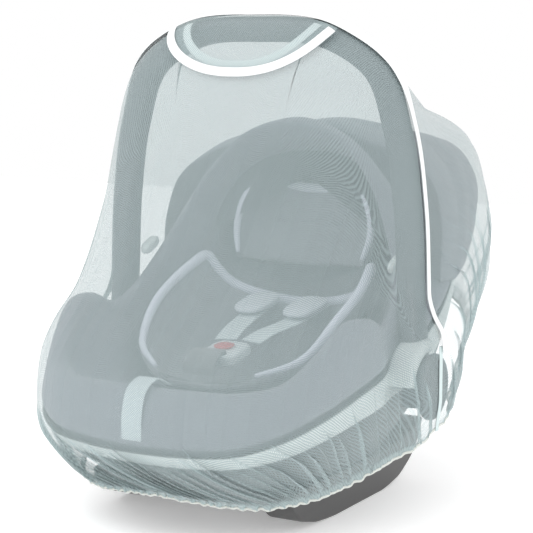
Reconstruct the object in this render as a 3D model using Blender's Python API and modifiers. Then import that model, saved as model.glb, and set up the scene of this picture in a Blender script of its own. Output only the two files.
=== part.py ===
"""A fitted mosquito net stretched over an infant carrier seat with its carry handle upright.

The net is two mesh panels joined along the crest of the handle. A hand hole is cut in the
front panel just below the crest and a D shaped flap hangs over it. White tape covers the
crest seam, the flap's edge and the hole's edge. The gathered hem tucks under the seat shell.
Metres, +Z up, the foot end of the seat faces -Y. Every table measures Y from the handle's
pivots, and the finished part is moved so that its middle is over the origin, on the floor.
"""

import math

import bmesh
import bpy
import numpy as np

PART_NAME = "mosquito_net_on_infant_carrier"

SHEET = 0.0016
TAPE = 0.0012
PIVOT_HEIGHT = 0.141
# The middle of the part, measured from the pivots towards the head end.
MIDDLE_Y = 0.0331
HANDLE_RADIUS = 0.014
DISC_RADIUS = 0.036
DISC_THICKNESS = 0.0080
DISC_ROUNDING = 0.003
COVER_X = 0.2197
COVER_TOP = 0.090
COVER_RISE = 0.045
HANDLE_WIDENING = 1.2
SEAM_OFFSET = 0.0176
TAPE_OFFSET = 0.0203
TAPE_HALF_ANGLE = 38
FLAP_LIFT = 0.0042
PANEL_COLUMNS = 60
GATHER_DEPTH = 0.0035
GATHERS = 14
# The hand hole and the flap are D shapes: half width, depth from the seam.
HOLE_D = (0.078, 0.080)
FLAP_D = (0.106, 0.098)
FLAP_TOP = 0.0175
BINDING_WIDTH = 0.0095

# Half of the handle's centre line: half width, height above the pivot.
HANDLE_LINE = (
    (0.1925, 0.000),
    (0.1850, 0.095),
    (0.1800, 0.190),
    (0.1670, 0.273),
    (0.1435, 0.335),
    (0.0890, 0.370),
    (0.0000, 0.379),
)

# Rows across one half of the net, from the pivot to the middle: x, y, z of the cloth.
FRONT_TOP_OF_PAD = (
    (0.2195, -0.003, 0.160),
    (0.2165, -0.045, 0.182),
    (0.2000, -0.088, 0.200),
    (0.1888, -0.128, 0.200),
    (0.1760, -0.168, 0.182),
    (0.1512, -0.212, 0.167),
    (0.1140, -0.242, 0.160),
    (0.0570, -0.259, 0.157),
    (0.0000, -0.263, 0.156),
)
FRONT_RIM = (
    (0.2195, -0.004, 0.130),
    (0.2187, -0.041, 0.136),
    (0.2010, -0.082, 0.149),
    (0.1882, -0.115, 0.148),
    (0.1745, -0.168, 0.131),
    (0.1510, -0.215, 0.115),
    (0.1145, -0.244, 0.103),
    (0.0570, -0.259, 0.098),
    (0.0000, -0.263, 0.097),
)
FRONT_HEM = (
    (0.2160, -0.003, 0.096),
    (0.2110, -0.032, 0.087),
    (0.1860, -0.072, 0.068),
    (0.1660, -0.103, 0.054),
    (0.1450, -0.140, 0.044),
    (0.1200, -0.172, 0.040),
    (0.0860, -0.197, 0.041),
    (0.0440, -0.212, 0.045),
    (0.0000, -0.216, 0.047),
)
REAR_SHOULDER = (
    (0.2195, 0.003, 0.160),
    (0.2165, 0.044, 0.192),
    (0.2030, 0.095, 0.248),
    (0.1900, 0.152, 0.300),
    (0.1690, 0.224, 0.346),
    (0.1340, 0.278, 0.377),
    (0.0700, 0.302, 0.392),
    (0.0000, 0.307, 0.396),
)
REAR_WIDEST = (
    (0.2195, 0.004, 0.130),
    (0.2187, 0.042, 0.144),
    (0.2060, 0.090, 0.176),
    (0.1950, 0.150, 0.216),
    (0.1780, 0.228, 0.270),
    (0.1450, 0.290, 0.294),
    (0.0800, 0.327, 0.299),
    (0.0000, 0.333, 0.299),
)
REAR_HEM = (
    (0.2160, 0.003, 0.096),
    (0.2110, 0.034, 0.099),
    (0.1940, 0.078, 0.116),
    (0.1780, 0.140, 0.146),
    (0.1580, 0.205, 0.180),
    (0.1160, 0.252, 0.202),
    (0.0600, 0.275, 0.209),
    (0.0000, 0.280, 0.210),
)

# Rings round the seat, half of each from the foot end to the head end: x, y, z.
SHELL_RIM = (
    (0.0000, -0.258, 0.099),
    (0.0560, -0.254, 0.100),
    (0.1120, -0.240, 0.105),
    (0.1470, -0.212, 0.117),
    (0.1700, -0.167, 0.133),
    (0.1840, -0.112, 0.151),
    (0.1860, -0.070, 0.160),
    (0.1740, -0.025, 0.166),
    (0.1730, 0.025, 0.171),
    (0.1760, 0.085, 0.198),
    (0.1660, 0.160, 0.255),
    (0.1430, 0.225, 0.305),
    (0.0900, 0.268, 0.332),
    (0.0000, 0.280, 0.338),
)
SHELL_SIDE = (
    (0.0000, -0.236, 0.078),
    (0.0510, -0.232, 0.078),
    (0.1020, -0.217, 0.080),
    (0.1340, -0.189, 0.086),
    (0.1540, -0.146, 0.094),
    (0.1660, -0.096, 0.102),
    (0.1710, -0.056, 0.107),
    (0.1680, -0.018, 0.110),
    (0.1670, 0.028, 0.115),
    (0.1650, 0.080, 0.130),
    (0.1560, 0.145, 0.170),
    (0.1350, 0.205, 0.225),
    (0.0850, 0.252, 0.262),
    (0.0000, 0.268, 0.272),
)
SHELL_FLOOR = (
    (0.0000, -0.190, 0.052),
    (0.0400, -0.187, 0.052),
    (0.0760, -0.175, 0.051),
    (0.1020, -0.150, 0.050),
    (0.1160, -0.116, 0.050),
    (0.1230, -0.078, 0.050),
    (0.1260, -0.044, 0.050),
    (0.1270, -0.012, 0.050),
    (0.1270, 0.026, 0.052),
    (0.1240, 0.068, 0.060),
    (0.1150, 0.112, 0.080),
    (0.0980, 0.158, 0.120),
    (0.0600, 0.196, 0.155),
    (0.0000, 0.210, 0.170),
)
PAD_RIDGE = (
    (0.0000, -0.238, 0.163),
    (0.0520, -0.235, 0.163),
    (0.1020, -0.221, 0.163),
    (0.1340, -0.196, 0.170),
    (0.1580, -0.160, 0.200),
    (0.1700, -0.122, 0.228),
    (0.1740, -0.085, 0.226),
    (0.1700, -0.046, 0.209),
    (0.1690, -0.010, 0.224),
    (0.1600, 0.018, 0.253),
    (0.1380, 0.038, 0.300),
    (0.1020, 0.053, 0.362),
    (0.0560, 0.062, 0.405),
    (0.0000, 0.065, 0.416),
)
PAD_BOWL = (
    (0.0000, -0.182, 0.132),
    (0.0380, -0.180, 0.132),
    (0.0740, -0.166, 0.132),
    (0.0960, -0.142, 0.134),
    (0.1080, -0.110, 0.138),
    (0.1140, -0.076, 0.142),
    (0.1170, -0.040, 0.148),
    (0.1180, -0.004, 0.160),
    (0.1180, 0.034, 0.184),
    (0.1160, 0.072, 0.216),
    (0.1120, 0.106, 0.256),
    (0.1000, 0.134, 0.308),
    (0.0600, 0.155, 0.348),
    (0.0000, 0.161, 0.362),
)
PAD_SHOULDER = (
    (0.0000, -0.258, 0.132),
    (0.0560, -0.254, 0.132),
    (0.1120, -0.239, 0.136),
    (0.1470, -0.211, 0.145),
    (0.1700, -0.167, 0.166),
    (0.1815, -0.118, 0.190),
    (0.1820, -0.078, 0.195),
    (0.1735, -0.034, 0.190),
    (0.1720, 0.004, 0.200),
    (0.1660, 0.040, 0.230),
    (0.1500, 0.078, 0.280),
    (0.1180, 0.104, 0.335),
    (0.0700, 0.118, 0.376),
    (0.0000, 0.126, 0.404),
)
PAD_FLOOR = (
    (0.0000, -0.150, 0.116),
    (0.0300, -0.148, 0.116),
    (0.0580, -0.138, 0.116),
    (0.0760, -0.120, 0.117),
    (0.0860, -0.095, 0.118),
    (0.0920, -0.066, 0.120),
    (0.0950, -0.034, 0.123),
    (0.0960, -0.002, 0.128),
    (0.0960, 0.030, 0.136),
    (0.0930, 0.062, 0.148),
    (0.0840, 0.092, 0.164),
    (0.0680, 0.114, 0.180),
    (0.0380, 0.128, 0.192),
    (0.0000, 0.132, 0.196),
)
PAD_DEEPEST = (0.0, -0.020, 0.104)
SHELL_UNDERSIDE = (0.0, -0.010, 0.051)

# Rows of the folded hood from its front edge to its rear edge, half of each.
HOOD_FRONT = (
    (0.1840, 0.078, 0.242),
    (0.1830, 0.085, 0.300),
    (0.1700, 0.095, 0.345),
    (0.1380, 0.108, 0.372),
    (0.0700, 0.122, 0.392),
    (0.0000, 0.142, 0.410),
)
HOOD_CREST = (
    (0.1800, 0.130, 0.240),
    (0.1790, 0.150, 0.300),
    (0.1650, 0.168, 0.350),
    (0.1360, 0.185, 0.384),
    (0.0700, 0.195, 0.400),
    (0.0000, 0.198, 0.410),
)
HOOD_REAR = (
    (0.1700, 0.178, 0.252),
    (0.1660, 0.215, 0.300),
    (0.1520, 0.248, 0.345),
    (0.1260, 0.262, 0.372),
    (0.0660, 0.268, 0.386),
    (0.0000, 0.270, 0.390),
)
HOOD_THICKNESS = 0.006

# Rows of the inlay, half of each from its side edge to the middle, foot end first.
INLAY_ROWS = (
    (
        (0.060, -0.128, 0.154),
        (0.045, -0.136, 0.149),
        (0.022, -0.142, 0.147),
        (0.000, -0.144, 0.147),
    ),
    (
        (0.104, -0.092, 0.172),
        (0.078, -0.090, 0.146),
        (0.040, -0.088, 0.136),
        (0.000, -0.088, 0.134),
    ),
    (
        (0.120, -0.045, 0.208),
        (0.092, -0.036, 0.162),
        (0.045, -0.026, 0.136),
        (0.000, -0.024, 0.132),
    ),
    (
        (0.122, 0.012, 0.236),
        (0.096, 0.030, 0.190),
        (0.048, 0.042, 0.166),
        (0.000, 0.046, 0.162),
    ),
    (
        (0.112, 0.060, 0.258),
        (0.090, 0.082, 0.222),
        (0.046, 0.096, 0.206),
        (0.000, 0.100, 0.201),
    ),
)
HEAD_ROWS = (
    (
        (0.084, 0.085, 0.252),
        (0.074, 0.100, 0.246),
        (0.038, 0.112, 0.244),
        (0.000, 0.116, 0.243),
    ),
    (
        (0.092, 0.096, 0.288),
        (0.080, 0.114, 0.280),
        (0.040, 0.128, 0.274),
        (0.000, 0.133, 0.272),
    ),
    (
        (0.084, 0.102, 0.322),
        (0.074, 0.122, 0.312),
        (0.038, 0.136, 0.304),
        (0.000, 0.141, 0.302),
    ),
    (
        (0.056, 0.114, 0.350),
        (0.050, 0.126, 0.344),
        (0.026, 0.136, 0.336),
        (0.000, 0.139, 0.334),
    ),
)
INLAY_THICKNESS = 0.010

SHOULDER_STRAP = (
    (0.0340, 0.080, 0.206),
    (0.0320, 0.050, 0.199),
    (0.0280, 0.010, 0.192),
    (0.0200, -0.030, 0.186),
    (0.0160, -0.052, 0.180),
)
SHOULDER_PAD = (0.032, 0.044, 0.2065)
CROTCH_PAD = (
    (0.0, -0.134, 0.157),
    (0.0, -0.132, 0.167),
    (0.0, -0.123, 0.176),
    (0.0, -0.109, 0.178),
)
BUCKLE = (0.0, -0.080, 0.170)
BUCKLE_TILT = 10
FRONT_STRAP = (
    (0.0, -0.205, 0.160),
    (0.0, -0.230, 0.170),
    (0.0, -0.250, 0.162),
    (0.0, -0.2598, 0.136),
    (0.0, -0.2600, 0.112),
)
BELT_GUIDE = (0.160, 0.014, 0.2690)
HUB_COVER = (0.200, -0.031, 0.182)

# The side view of a rocker rail: y, z. Its middle is flat where it stands on the floor.
RAIL_OUTLINE = (
    (-0.156, 0.0475),
    (-0.152, 0.0300),
    (-0.134, 0.0130),
    (-0.098, 0.0035),
    (-0.060, 0.0000),
    (0.065, 0.0000),
    (0.103, 0.0065),
    (0.136, 0.0230),
    (0.158, 0.0450),
    (0.166, 0.0660),
    (0.150, 0.0640),
    (0.110, 0.0540),
    (0.070, 0.0475),
)
RAIL_CENTRE = 0.105
RAIL_WIDTH = 0.040
PLATE_ROUNDING = 0.003
SHELL_WALL = 0.004
TRIM_CLEARANCE = 0.0016
TRIM_THICKNESS = 0.0010
GAP = 0.0003


def clear_scene():
    for item in list(bpy.data.objects):
        bpy.data.objects.remove(item)


def make_material(name, color, roughness, alpha=1.0):
    made = bpy.data.materials.new(name)
    made.use_nodes = True
    shader = made.node_tree.nodes["Principled BSDF"]
    shader.inputs["Base Color"].default_value = (*color, 1.0)
    shader.inputs["Roughness"].default_value = roughness
    shader.inputs["Metallic"].default_value = 0.0
    shader.inputs["Alpha"].default_value = alpha
    made.diffuse_color = (*color, alpha)
    return made


def add_object(name, mesh, material, smooth=True):
    placed = bpy.data.objects.new(name, mesh)
    part_collection.objects.link(placed)
    mesh.materials.append(material)
    if smooth:
        mesh.shade_smooth()
    return placed


def hermite(guides, stations):
    """Smooth rows through the guide rows; station 1.5 is halfway from guide 1 to guide 2."""
    guides = np.asarray(guides, float)
    spans = np.linalg.norm(np.diff(guides, axis=0), axis=2)[..., None] + 1e-9
    slopes = np.diff(guides, axis=0) / spans
    tangents = np.empty_like(guides)
    tangents[0] = slopes[0]
    tangents[-1] = slopes[-1]
    before, after = spans[:-1], spans[1:]
    tangents[1:-1] = (slopes[:-1] * after + slopes[1:] * before) / (before + after)
    columns = np.arange(guides.shape[1])
    stations = np.broadcast_to(np.asarray(stations, float), (len(stations), len(columns)))
    low = np.clip(stations.astype(int), 0, len(guides) - 2)
    part = (stations - low)[..., None]
    width = spans[low, columns]
    start, end = guides[low, columns], guides[low + 1, columns]
    leave, arrive = tangents[low, columns] * width, tangents[low + 1, columns] * width
    square, cube = part**2, part**3
    return (
        start * (2 * cube - 3 * square + 1)
        + leave * (cube - 2 * square + part)
        + end * (3 * square - 2 * cube)
        + arrive * (cube - square)
    )


def even_line(points, count):
    """The same smooth line through the points, cut into even steps."""
    points = np.asarray(points, float)
    fine = hermite(points[:, None, :], np.linspace(0, len(points) - 1, 600)[:, None])[:, 0]
    travelled = np.r_[0, np.cumsum(np.linalg.norm(np.diff(fine, axis=0), axis=1))]
    wanted = np.linspace(0, travelled[-1], count)
    return np.stack([np.interp(wanted, travelled, axis) for axis in fine.T], axis=1)


def across(half, count):
    """A line from the left pivot to the right one, from the points of its right half."""
    half = np.asarray(half, float)
    left = half * (-1, 1, 1)
    return even_line(np.concatenate((left, half[-2::-1])), count)


def ring(half, steps=2):
    """A closed ring round the seat, with this many steps between the points of its half."""
    half = np.asarray(half, float)
    loop = np.concatenate((half, half[-2:0:-1] * (-1, 1, 1)))
    padded = np.concatenate((loop[-2:], loop, loop[:3]))
    count = len(loop) * steps
    return hermite(padded[:, None, :], (2 + np.arange(count) / steps)[:, None])[:, 0]


def grid_mesh(name, rows, closed=False, caps=()):
    """A mesh of quads over rows of points; caps are the end points that close the rows."""
    rows = np.asarray(rows, float)
    count, width = rows.shape[:2]
    points = [tuple(p) for p in rows.reshape(-1, 3)]
    last = width if closed else width - 1
    faces = []
    for row in range(count - 1):
        for column in range(last):
            following = (column + 1) % width
            faces.append(
                (
                    row * width + column,
                    row * width + following,
                    (row + 1) * width + following,
                    (row + 1) * width + column,
                )
            )
    for position, cap in enumerate(caps):
        points.append(tuple(cap))
        centre = len(points) - 1
        base = 0 if position == 0 else (count - 1) * width
        for column in range(last):
            edge = (base + column, base + (column + 1) % width)
            faces.append((edge[1], edge[0], centre) if position == 0 else (*edge, centre))
    mesh = bpy.data.meshes.new(name)
    mesh.from_pydata(points, [], faces)
    work = bmesh.new()
    work.from_mesh(mesh)
    bmesh.ops.recalc_face_normals(work, faces=work.faces[:])
    work.to_mesh(mesh)
    work.free()
    return mesh


def add_sheet(name, rows, thickness, material):
    """Cloth: a grid of rows made solid, half of the thickness to each side."""
    sheet = add_object(name, grid_mesh(name, rows), material)
    solid = sheet.modifiers.new("thickness", "SOLIDIFY")
    solid.thickness = thickness
    solid.offset = 0.0
    return sheet


def add_tube(name, points, radius, material, sides=2):
    """A round bar along the points, with filled ends."""
    curve = bpy.data.curves.new(name, "CURVE")
    curve.dimensions = "3D"
    curve.bevel_depth = radius
    curve.bevel_resolution = sides
    curve.use_fill_caps = True
    line = curve.splines.new("POLY")
    line.points.add(len(points) - 1)
    for target, point in zip(line.points, points):
        target.co = (*point, 1.0)
    placed = bpy.data.objects.new(name, curve)
    part_collection.objects.link(placed)
    curve.materials.append(material)
    return placed


def handle_line(count):
    """The handle's centre line in the plane Y = 0."""
    return across([(x, 0.0, PIVOT_HEIGHT + z) for x, z in HANDLE_LINE], count)


def round_the_handle(count, offset, angle, lowest, pinch=0.3):
    """A line along the handle at this offset, turned by the angle in degrees towards +Y."""
    line = handle_line(400)
    line = line[line[:, 2] >= PIVOT_HEIGHT + lowest]
    tangent = np.gradient(line, axis=0)
    tangent /= np.linalg.norm(tangent, axis=1)[:, None]
    outward = np.stack((-tangent[:, 2], 0 * tangent[:, 0], tangent[:, 0]), axis=1)
    turn = math.radians(angle)
    sideways = np.array((0.0, HANDLE_WIDENING, 0.0)) * math.sin(turn)
    moved = line + offset * (outward * math.cos(turn) + sideways)
    # Near its ends the cloth swings out to pass over the middle of the pivot discs.
    share = np.clip((COVER_TOP - (line[:, 2] - PIVOT_HEIGHT)) / COVER_RISE, 0, 1)
    share *= share * (3 - 2 * share)
    outermost = np.sign(line[:, 0]) * (COVER_X + (offset - SEAM_OFFSET) * 1.5)
    moved[:, 0] += (outermost - moved[:, 0]) * share
    moved[:, 1] *= 1 + (pinch - 1) * share
    picked = np.linspace(0, len(moved) - 1, 50).round().astype(int)
    return even_line(moved[picked], count)


def sagged(upper, lower, share, depth):
    """A row between two rows, pulled in towards the middle of the tent by the depth."""
    middle = upper * (1 - share) + lower * share
    inward = np.array((0.0, 0.0, 0.24)) - middle
    inward /= np.linalg.norm(inward, axis=1)[:, None]
    weight = np.sin(np.linspace(0, math.pi, len(middle)))[:, None] ** 1.5
    return middle + inward * depth * weight


def front_guides(columns):
    """The front panel's rows: seam, tape's edge, two free rows, pad, rim, skirt and hem."""
    seam = round_the_handle(columns, SEAM_OFFSET, -7, 0.030)
    edge = round_the_handle(columns, SEAM_OFFSET, -48, 0.026)
    pad = across(FRONT_TOP_OF_PAD, columns)
    rim = across(FRONT_RIM, columns)
    hem = across(FRONT_HEM, columns)
    skirt = rim * 0.45 + hem * 0.55 + (0, 0, -0.004)
    upper = sagged(edge, pad, 0.33, 0.018)
    lower = sagged(edge, pad, 0.70, 0.022)
    return np.stack((seam, edge, upper, lower, pad, rim, skirt, hem))


def rear_guides(columns):
    """The rear panel's rows: seam, tape's edge, a free row, shoulder, widest row and hem."""
    seam = round_the_handle(columns, SEAM_OFFSET, 7, 0.030)
    edge = round_the_handle(columns, SEAM_OFFSET, 48, 0.034)
    shoulder = across(REAR_SHOULDER, columns)
    widest = across(REAR_WIDEST, columns)
    hem = across(REAR_HEM, columns)
    return np.stack((seam, edge, sagged(edge, shoulder, 0.5, 0.010), shoulder, widest, hem))


def gathered(rows, stations, first, last):
    """Push the rows in and out in gathers that grow from the first station to the last."""
    place = np.linspace(0, 1, rows.shape[1])
    from_middle = 2 * math.pi * (place - 0.5)
    wave = np.cos(GATHERS * from_middle) * (0.75 + 0.25 * np.cos(5 * from_middle))
    wave *= np.clip((np.minimum(place, 1 - place) - 0.06) * 14, 0, 1)
    outward = rows * (1, 1, 0)
    outward /= np.linalg.norm(outward, axis=2)[..., None]
    growth = np.clip((np.asarray(stations) - first) / (last - first), 0, 1)[:, None]
    return rows + outward * (growth * wave * GATHER_DEPTH)[..., None]


def d_depth(x, shape):
    """How far down from the seam the D reaches at this distance from its middle."""
    half_width, depth = shape
    share = np.clip(np.abs(x) / half_width, 0, 1)
    return depth * (1 - share**2.6) ** (1 / 2.2)


def d_outline(shape, count, inset):
    """Points x, down round the D from its left end to its right, moved in by the inset."""
    half_width, depth = shape
    turn = np.linspace(math.pi, 0, count)
    x = half_width * np.sign(np.cos(turn)) * np.abs(np.cos(turn)) ** (2 / 2.6)
    line = np.stack((x, d_depth(x, shape)), axis=1)
    along = np.gradient(line, axis=0)
    along /= np.linalg.norm(along, axis=1)[:, None]
    return line + np.stack((along[:, 1], -along[:, 0]), axis=1) * inset


def stations_down(guides, down):
    """The front panel's stations at distances down from the seam."""
    first = np.linalg.norm(guides[1] - guides[0], axis=1)
    second = np.linalg.norm(guides[2] - guides[1], axis=1)
    return np.where(down < first, down / first, 1 + (down - first) / second)


def on_front_panel(x, down, lift):
    """Points over the upper front panel, at x, at a distance down from the seam."""
    fine = front_guides(801)
    high = np.flatnonzero(fine[1, :, 2] > PIVOT_HEIGHT + 0.30)
    place = np.interp(x, fine[1, high, 0], high)
    low = place.astype(int)
    part = (place - low)[:, None]
    guides = fine[:, low] * (1 - part) + fine[:, low + 1] * part
    step = 0.0005
    here, below = (
        hermite(guides, stations_down(guides, d)[None, :])[0] for d in (down, down + step)
    )
    beside = here + (fine[2, low + 1] - fine[2, low])
    normal = np.cross(below - here, beside - here)
    normal /= np.linalg.norm(normal, axis=1)[:, None]
    return here + normal * lift


def add_net(mesh_material):
    front = front_guides(PANEL_COLUMNS)
    # The hand hole is a bay in the panel's top edge.
    high = front[1, :, 2] > PIVOT_HEIGHT + 0.30
    bay = stations_down(front, np.where(high, d_depth(front[1, :, 0], HOLE_D), 0.0))
    upper = bay + np.linspace(0, 1, 4)[:, None] * (2.0 - bay)
    lower = np.array((2.5, 3.0, 3.5, 4.0, 4.5, 5.0, 5.5, 6.0, 6.5, 7.0))
    stations = np.concatenate((upper, np.repeat(lower[:, None], PANEL_COLUMNS, axis=1)))
    rows = gathered(hermite(front, stations), stations[:, 0], 5.0, 7.0)
    add_sheet("net_front_panel", rows, SHEET, mesh_material)

    stations = np.array((0, 1, 1.5, 2, 2.5, 3, 3.5, 4, 4.35, 4.7, 5.0))
    rows = hermite(rear_guides(PANEL_COLUMNS), stations[:, None])
    add_sheet("net_rear_panel", gathered(rows, stations, 4.0, 5.0), SHEET, mesh_material)


def add_flap(mesh_material):
    x = np.linspace(-0.97, 0.97, 19) * FLAP_D[0]
    deepest = d_depth(x, FLAP_D)
    rows = [
        on_front_panel(x, FLAP_TOP + (deepest - FLAP_TOP) * share, FLAP_LIFT)
        for share in np.linspace(0, 1, 6)
    ]
    add_sheet("hand_flap", rows, TAPE, mesh_material)


def add_binding(name, shape, inner, outer, lift, material):
    """A strip of tape round a D, between two distances from its edge."""
    rows = []
    for inset in np.linspace(inner, outer, 3):
        x, down = d_outline(shape, 33, inset).T
        keep = slice(3, -3)
        rows.append(on_front_panel(x[keep], np.maximum(down[keep], FLAP_TOP), lift))
    add_sheet(name, rows, TAPE, material)


def add_crest_tape(material):
    angles = np.linspace(-TAPE_HALF_ANGLE, TAPE_HALF_ANGLE, 5)
    rows = [round_the_handle(48, TAPE_OFFSET, angle, 0.036, 0.7) for angle in angles]
    add_sheet("crest_tape", rows, TAPE, material)


def moved_in(rows, distance, rise=0.0):
    """A ring moved towards its inside in plan, and up."""
    along = np.roll(rows, -1, axis=0) - np.roll(rows, 1, axis=0)
    inward = np.stack((-along[:, 1], along[:, 0], 0 * along[:, 0]), axis=1)
    inward /= np.linalg.norm(inward, axis=1)[:, None]
    return rows + inward * distance + (0, 0, rise)


def add_shell(dark, light):
    rim, side, floor = ring(SHELL_RIM), ring(SHELL_SIDE), ring(SHELL_FLOOR)
    rows = hermite(np.stack((rim, side, floor)), np.array((0, 0.5, 1, 1.5, 2))[:, None])
    mesh = grid_mesh("seat_shell", rows[::-1], closed=True, caps=[SHELL_UNDERSIDE])
    shell = add_object("seat_shell", mesh, dark)
    solid = shell.modifiers.new("wall", "SOLIDIFY")
    solid.thickness = SHELL_WALL
    solid.offset = -1.0
    lines = hermite(np.stack((rim, side, floor)), np.array((0.0, 0.25, 0.5))[:, None])
    trim_rows = [moved_in(line, -TRIM_CLEARANCE, -0.0005) for line in lines]
    trim = add_object("rim_trim", grid_mesh("rim_trim", trim_rows, closed=True), light)
    solid = trim.modifiers.new("wall", "SOLIDIFY")
    solid.thickness = TRIM_THICKNESS
    solid.offset = 0.0


def add_pad(material):
    rim, side, floor = ring(SHELL_RIM), ring(SHELL_SIDE), ring(SHELL_FLOOR)
    ridge, bowl = ring(PAD_RIDGE), ring(PAD_BOWL)
    rows = [
        moved_in(floor, 0.022, 0.018),
        moved_in(side, 0.014, 0.006),
        moved_in(rim, 0.010, 0.000),
        moved_in(rim, 0.007, 0.005),
        moved_in(rim, 0.001, 0.008),
        ring(PAD_SHOULDER),
        ridge * 0.75 + ring(PAD_SHOULDER) * 0.25 + (0, 0, 0.006),
        ridge * 0.94 + bowl * 0.06 + (0, 0, 0.002),
        ridge * 0.72 + bowl * 0.28 - (0, 0, 0.006),
        ridge * 0.35 + bowl * 0.65 - (0, 0, 0.004),
        bowl,
        ring(PAD_FLOOR),
    ]
    caps = [(0.0, -0.02, 0.072), PAD_DEEPEST]
    add_object("seat_pad", grid_mesh("seat_pad", rows, closed=True, caps=caps), material)


def add_handle(material, disc_material):
    line = handle_line(30)
    low = np.array((line[0] - (0, 0, 0.022), line[-1] - (0, 0, 0.022)))
    line = np.concatenate((low[:1], line, low[1:]))
    handle = add_tube("carry_handle", line, HANDLE_RADIUS, material)
    handle.scale.y = HANDLE_WIDENING
    start = HANDLE_LINE[0][0] + HANDLE_RADIUS + GAP
    for side, label in ((-1, "left"), (1, "right")):
        mesh = bpy.data.meshes.new("pivot_disc")
        work = bmesh.new()
        bmesh.ops.create_cone(
            work,
            cap_ends=True,
            segments=24,
            radius1=DISC_RADIUS,
            radius2=DISC_RADIUS,
            depth=DISC_THICKNESS,
        )
        work.to_mesh(mesh)
        work.free()
        disc = add_object(f"pivot_disc_{label}", mesh, disc_material)
        disc.rotation_euler = (0, math.pi / 2, 0)
        disc.location = (side * (start + DISC_THICKNESS / 2), 0, PIVOT_HEIGHT)
        rounding = disc.modifiers.new("rounding", "BEVEL")
        rounding.width = DISC_ROUNDING
        rounding.segments = 1
        rounding.limit_method = "ANGLE"


def add_hood(material):
    guides = np.stack([across(half, 29) for half in (HOOD_FRONT, HOOD_CREST, HOOD_REAR)])
    rows = hermite(guides, np.array((0, 0.5, 1, 1.5, 2))[:, None])
    add_sheet("folded_hood", rows, HOOD_THICKNESS, material)


def add_plate(name, outline, centre_x, width, material):
    """An upright plate across X, cut to an outline of y and z, with rounded edges."""
    curve = bpy.data.curves.new(name, "CURVE")
    curve.dimensions = "2D"
    curve.fill_mode = "BOTH"
    curve.bevel_depth = PLATE_ROUNDING
    curve.bevel_resolution = 1
    curve.offset = -PLATE_ROUNDING
    curve.extrude = width / 2 - PLATE_ROUNDING
    line = curve.splines.new("POLY")
    line.points.add(len(outline) - 1)
    for target, (y, z) in zip(line.points, outline):
        target.co = (y, z, 0.0, 1.0)
    line.use_cyclic_u = True
    curve.materials.append(material)
    placed = bpy.data.objects.new(name, curve)
    part_collection.objects.link(placed)
    placed.rotation_euler = (math.pi / 2, 0, math.pi / 2)
    placed.location.x = centre_x


def add_base(material):
    for side, label in ((-1, "left"), (1, "right")):
        add_plate(f"rocker_rail_{label}", RAIL_OUTLINE, side * RAIL_CENTRE, RAIL_WIDTH, material)
    length = 2 * (RAIL_CENTRE - RAIL_WIDTH / 2 - GAP)
    for label, y in (("front", -0.125), ("rear", 0.085)):
        add_box(f"rocker_crossbar_{label}", (length, 0.045, 0.020), (0, y, 0.034), 0, material)


def add_box(name, size, location, tilt, material, rounding=0.004):
    """A rounded box, tilted about X by the angle in degrees."""
    mesh = bpy.data.meshes.new(name)
    work = bmesh.new()
    bmesh.ops.create_cube(work, size=1.0)
    bmesh.ops.scale(work, vec=size, verts=work.verts)
    work.to_mesh(mesh)
    work.free()
    box = add_object(name, mesh, material, smooth=False)
    box.location = location
    box.rotation_euler.x = math.radians(tilt)
    bevel = box.modifiers.new("rounding", "BEVEL")
    bevel.width = rounding
    bevel.segments = 2
    return box


def add_band(name, line, width, thickness, material):
    """A flat webbing band, its width along X, following a line of x, y, z."""
    line = even_line(line, 12)
    rows = [line + (shift, 0, 0) for shift in np.linspace(-width / 2, width / 2, 3)]
    return add_sheet(name, rows, thickness, material)


def add_inlay(material):
    guides = np.stack([across(half, 17) for half in INLAY_ROWS])
    rows = hermite(guides, np.linspace(0, len(INLAY_ROWS) - 1, 9)[:, None])
    add_sheet("newborn_inlay", rows, INLAY_THICKNESS, material)
    guides = np.stack([across(half, 17) for half in HEAD_ROWS])
    rows = hermite(guides, np.linspace(0, len(HEAD_ROWS) - 1, 7)[:, None])
    add_sheet("head_support", rows, INLAY_THICKNESS, material)


def add_harness(webbing, padding, red):
    for side, label in ((-1, "left"), (1, "right")):
        line = [(side * x, y, z) for x, y, z in SHOULDER_STRAP]
        add_band(f"shoulder_strap_{label}", line, 0.026, 0.002, webbing)
        x, y, z = SHOULDER_PAD
        add_box(f"shoulder_pad_{label}", (0.040, 0.062, 0.009), (side * x, y, z), 11, padding)
    add_band("crotch_pad", CROTCH_PAD, 0.040, 0.006, padding)
    add_box("buckle", (0.046, 0.052, 0.016), BUCKLE, BUCKLE_TILT, webbing)
    mesh = bpy.data.meshes.new("release_button")
    work = bmesh.new()
    bmesh.ops.create_cone(
        work, cap_ends=True, segments=20, radius1=0.0115, radius2=0.0100, depth=0.004
    )
    work.to_mesh(mesh)
    work.free()
    button = add_object("release_button", mesh, red)
    turn = math.radians(BUCKLE_TILT)
    lift = 0.008 + GAP + 0.002
    x, y, z = BUCKLE
    button.location = (x, y - math.sin(turn) * lift, z + math.cos(turn) * lift)
    button.rotation_euler.x = turn


def add_front_strap(material):
    add_band("front_strap", FRONT_STRAP, 0.024, 0.0016, material)


def add_side_fittings(material):
    for side, label in ((-1, "left"), (1, "right")):
        x, y, z = BELT_GUIDE
        add_box(f"belt_guide_{label}", (0.012, 0.030, 0.012), (side * x, y, z), 25, material)
        x, y, z = HUB_COVER
        add_box(f"hub_cover_{label}", (0.012, 0.022, 0.026), (side * x, y, z), 0, material)


clear_scene()
part_collection = bpy.data.collections.new(PART_NAME)
bpy.context.scene.collection.children.link(part_collection)

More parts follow.
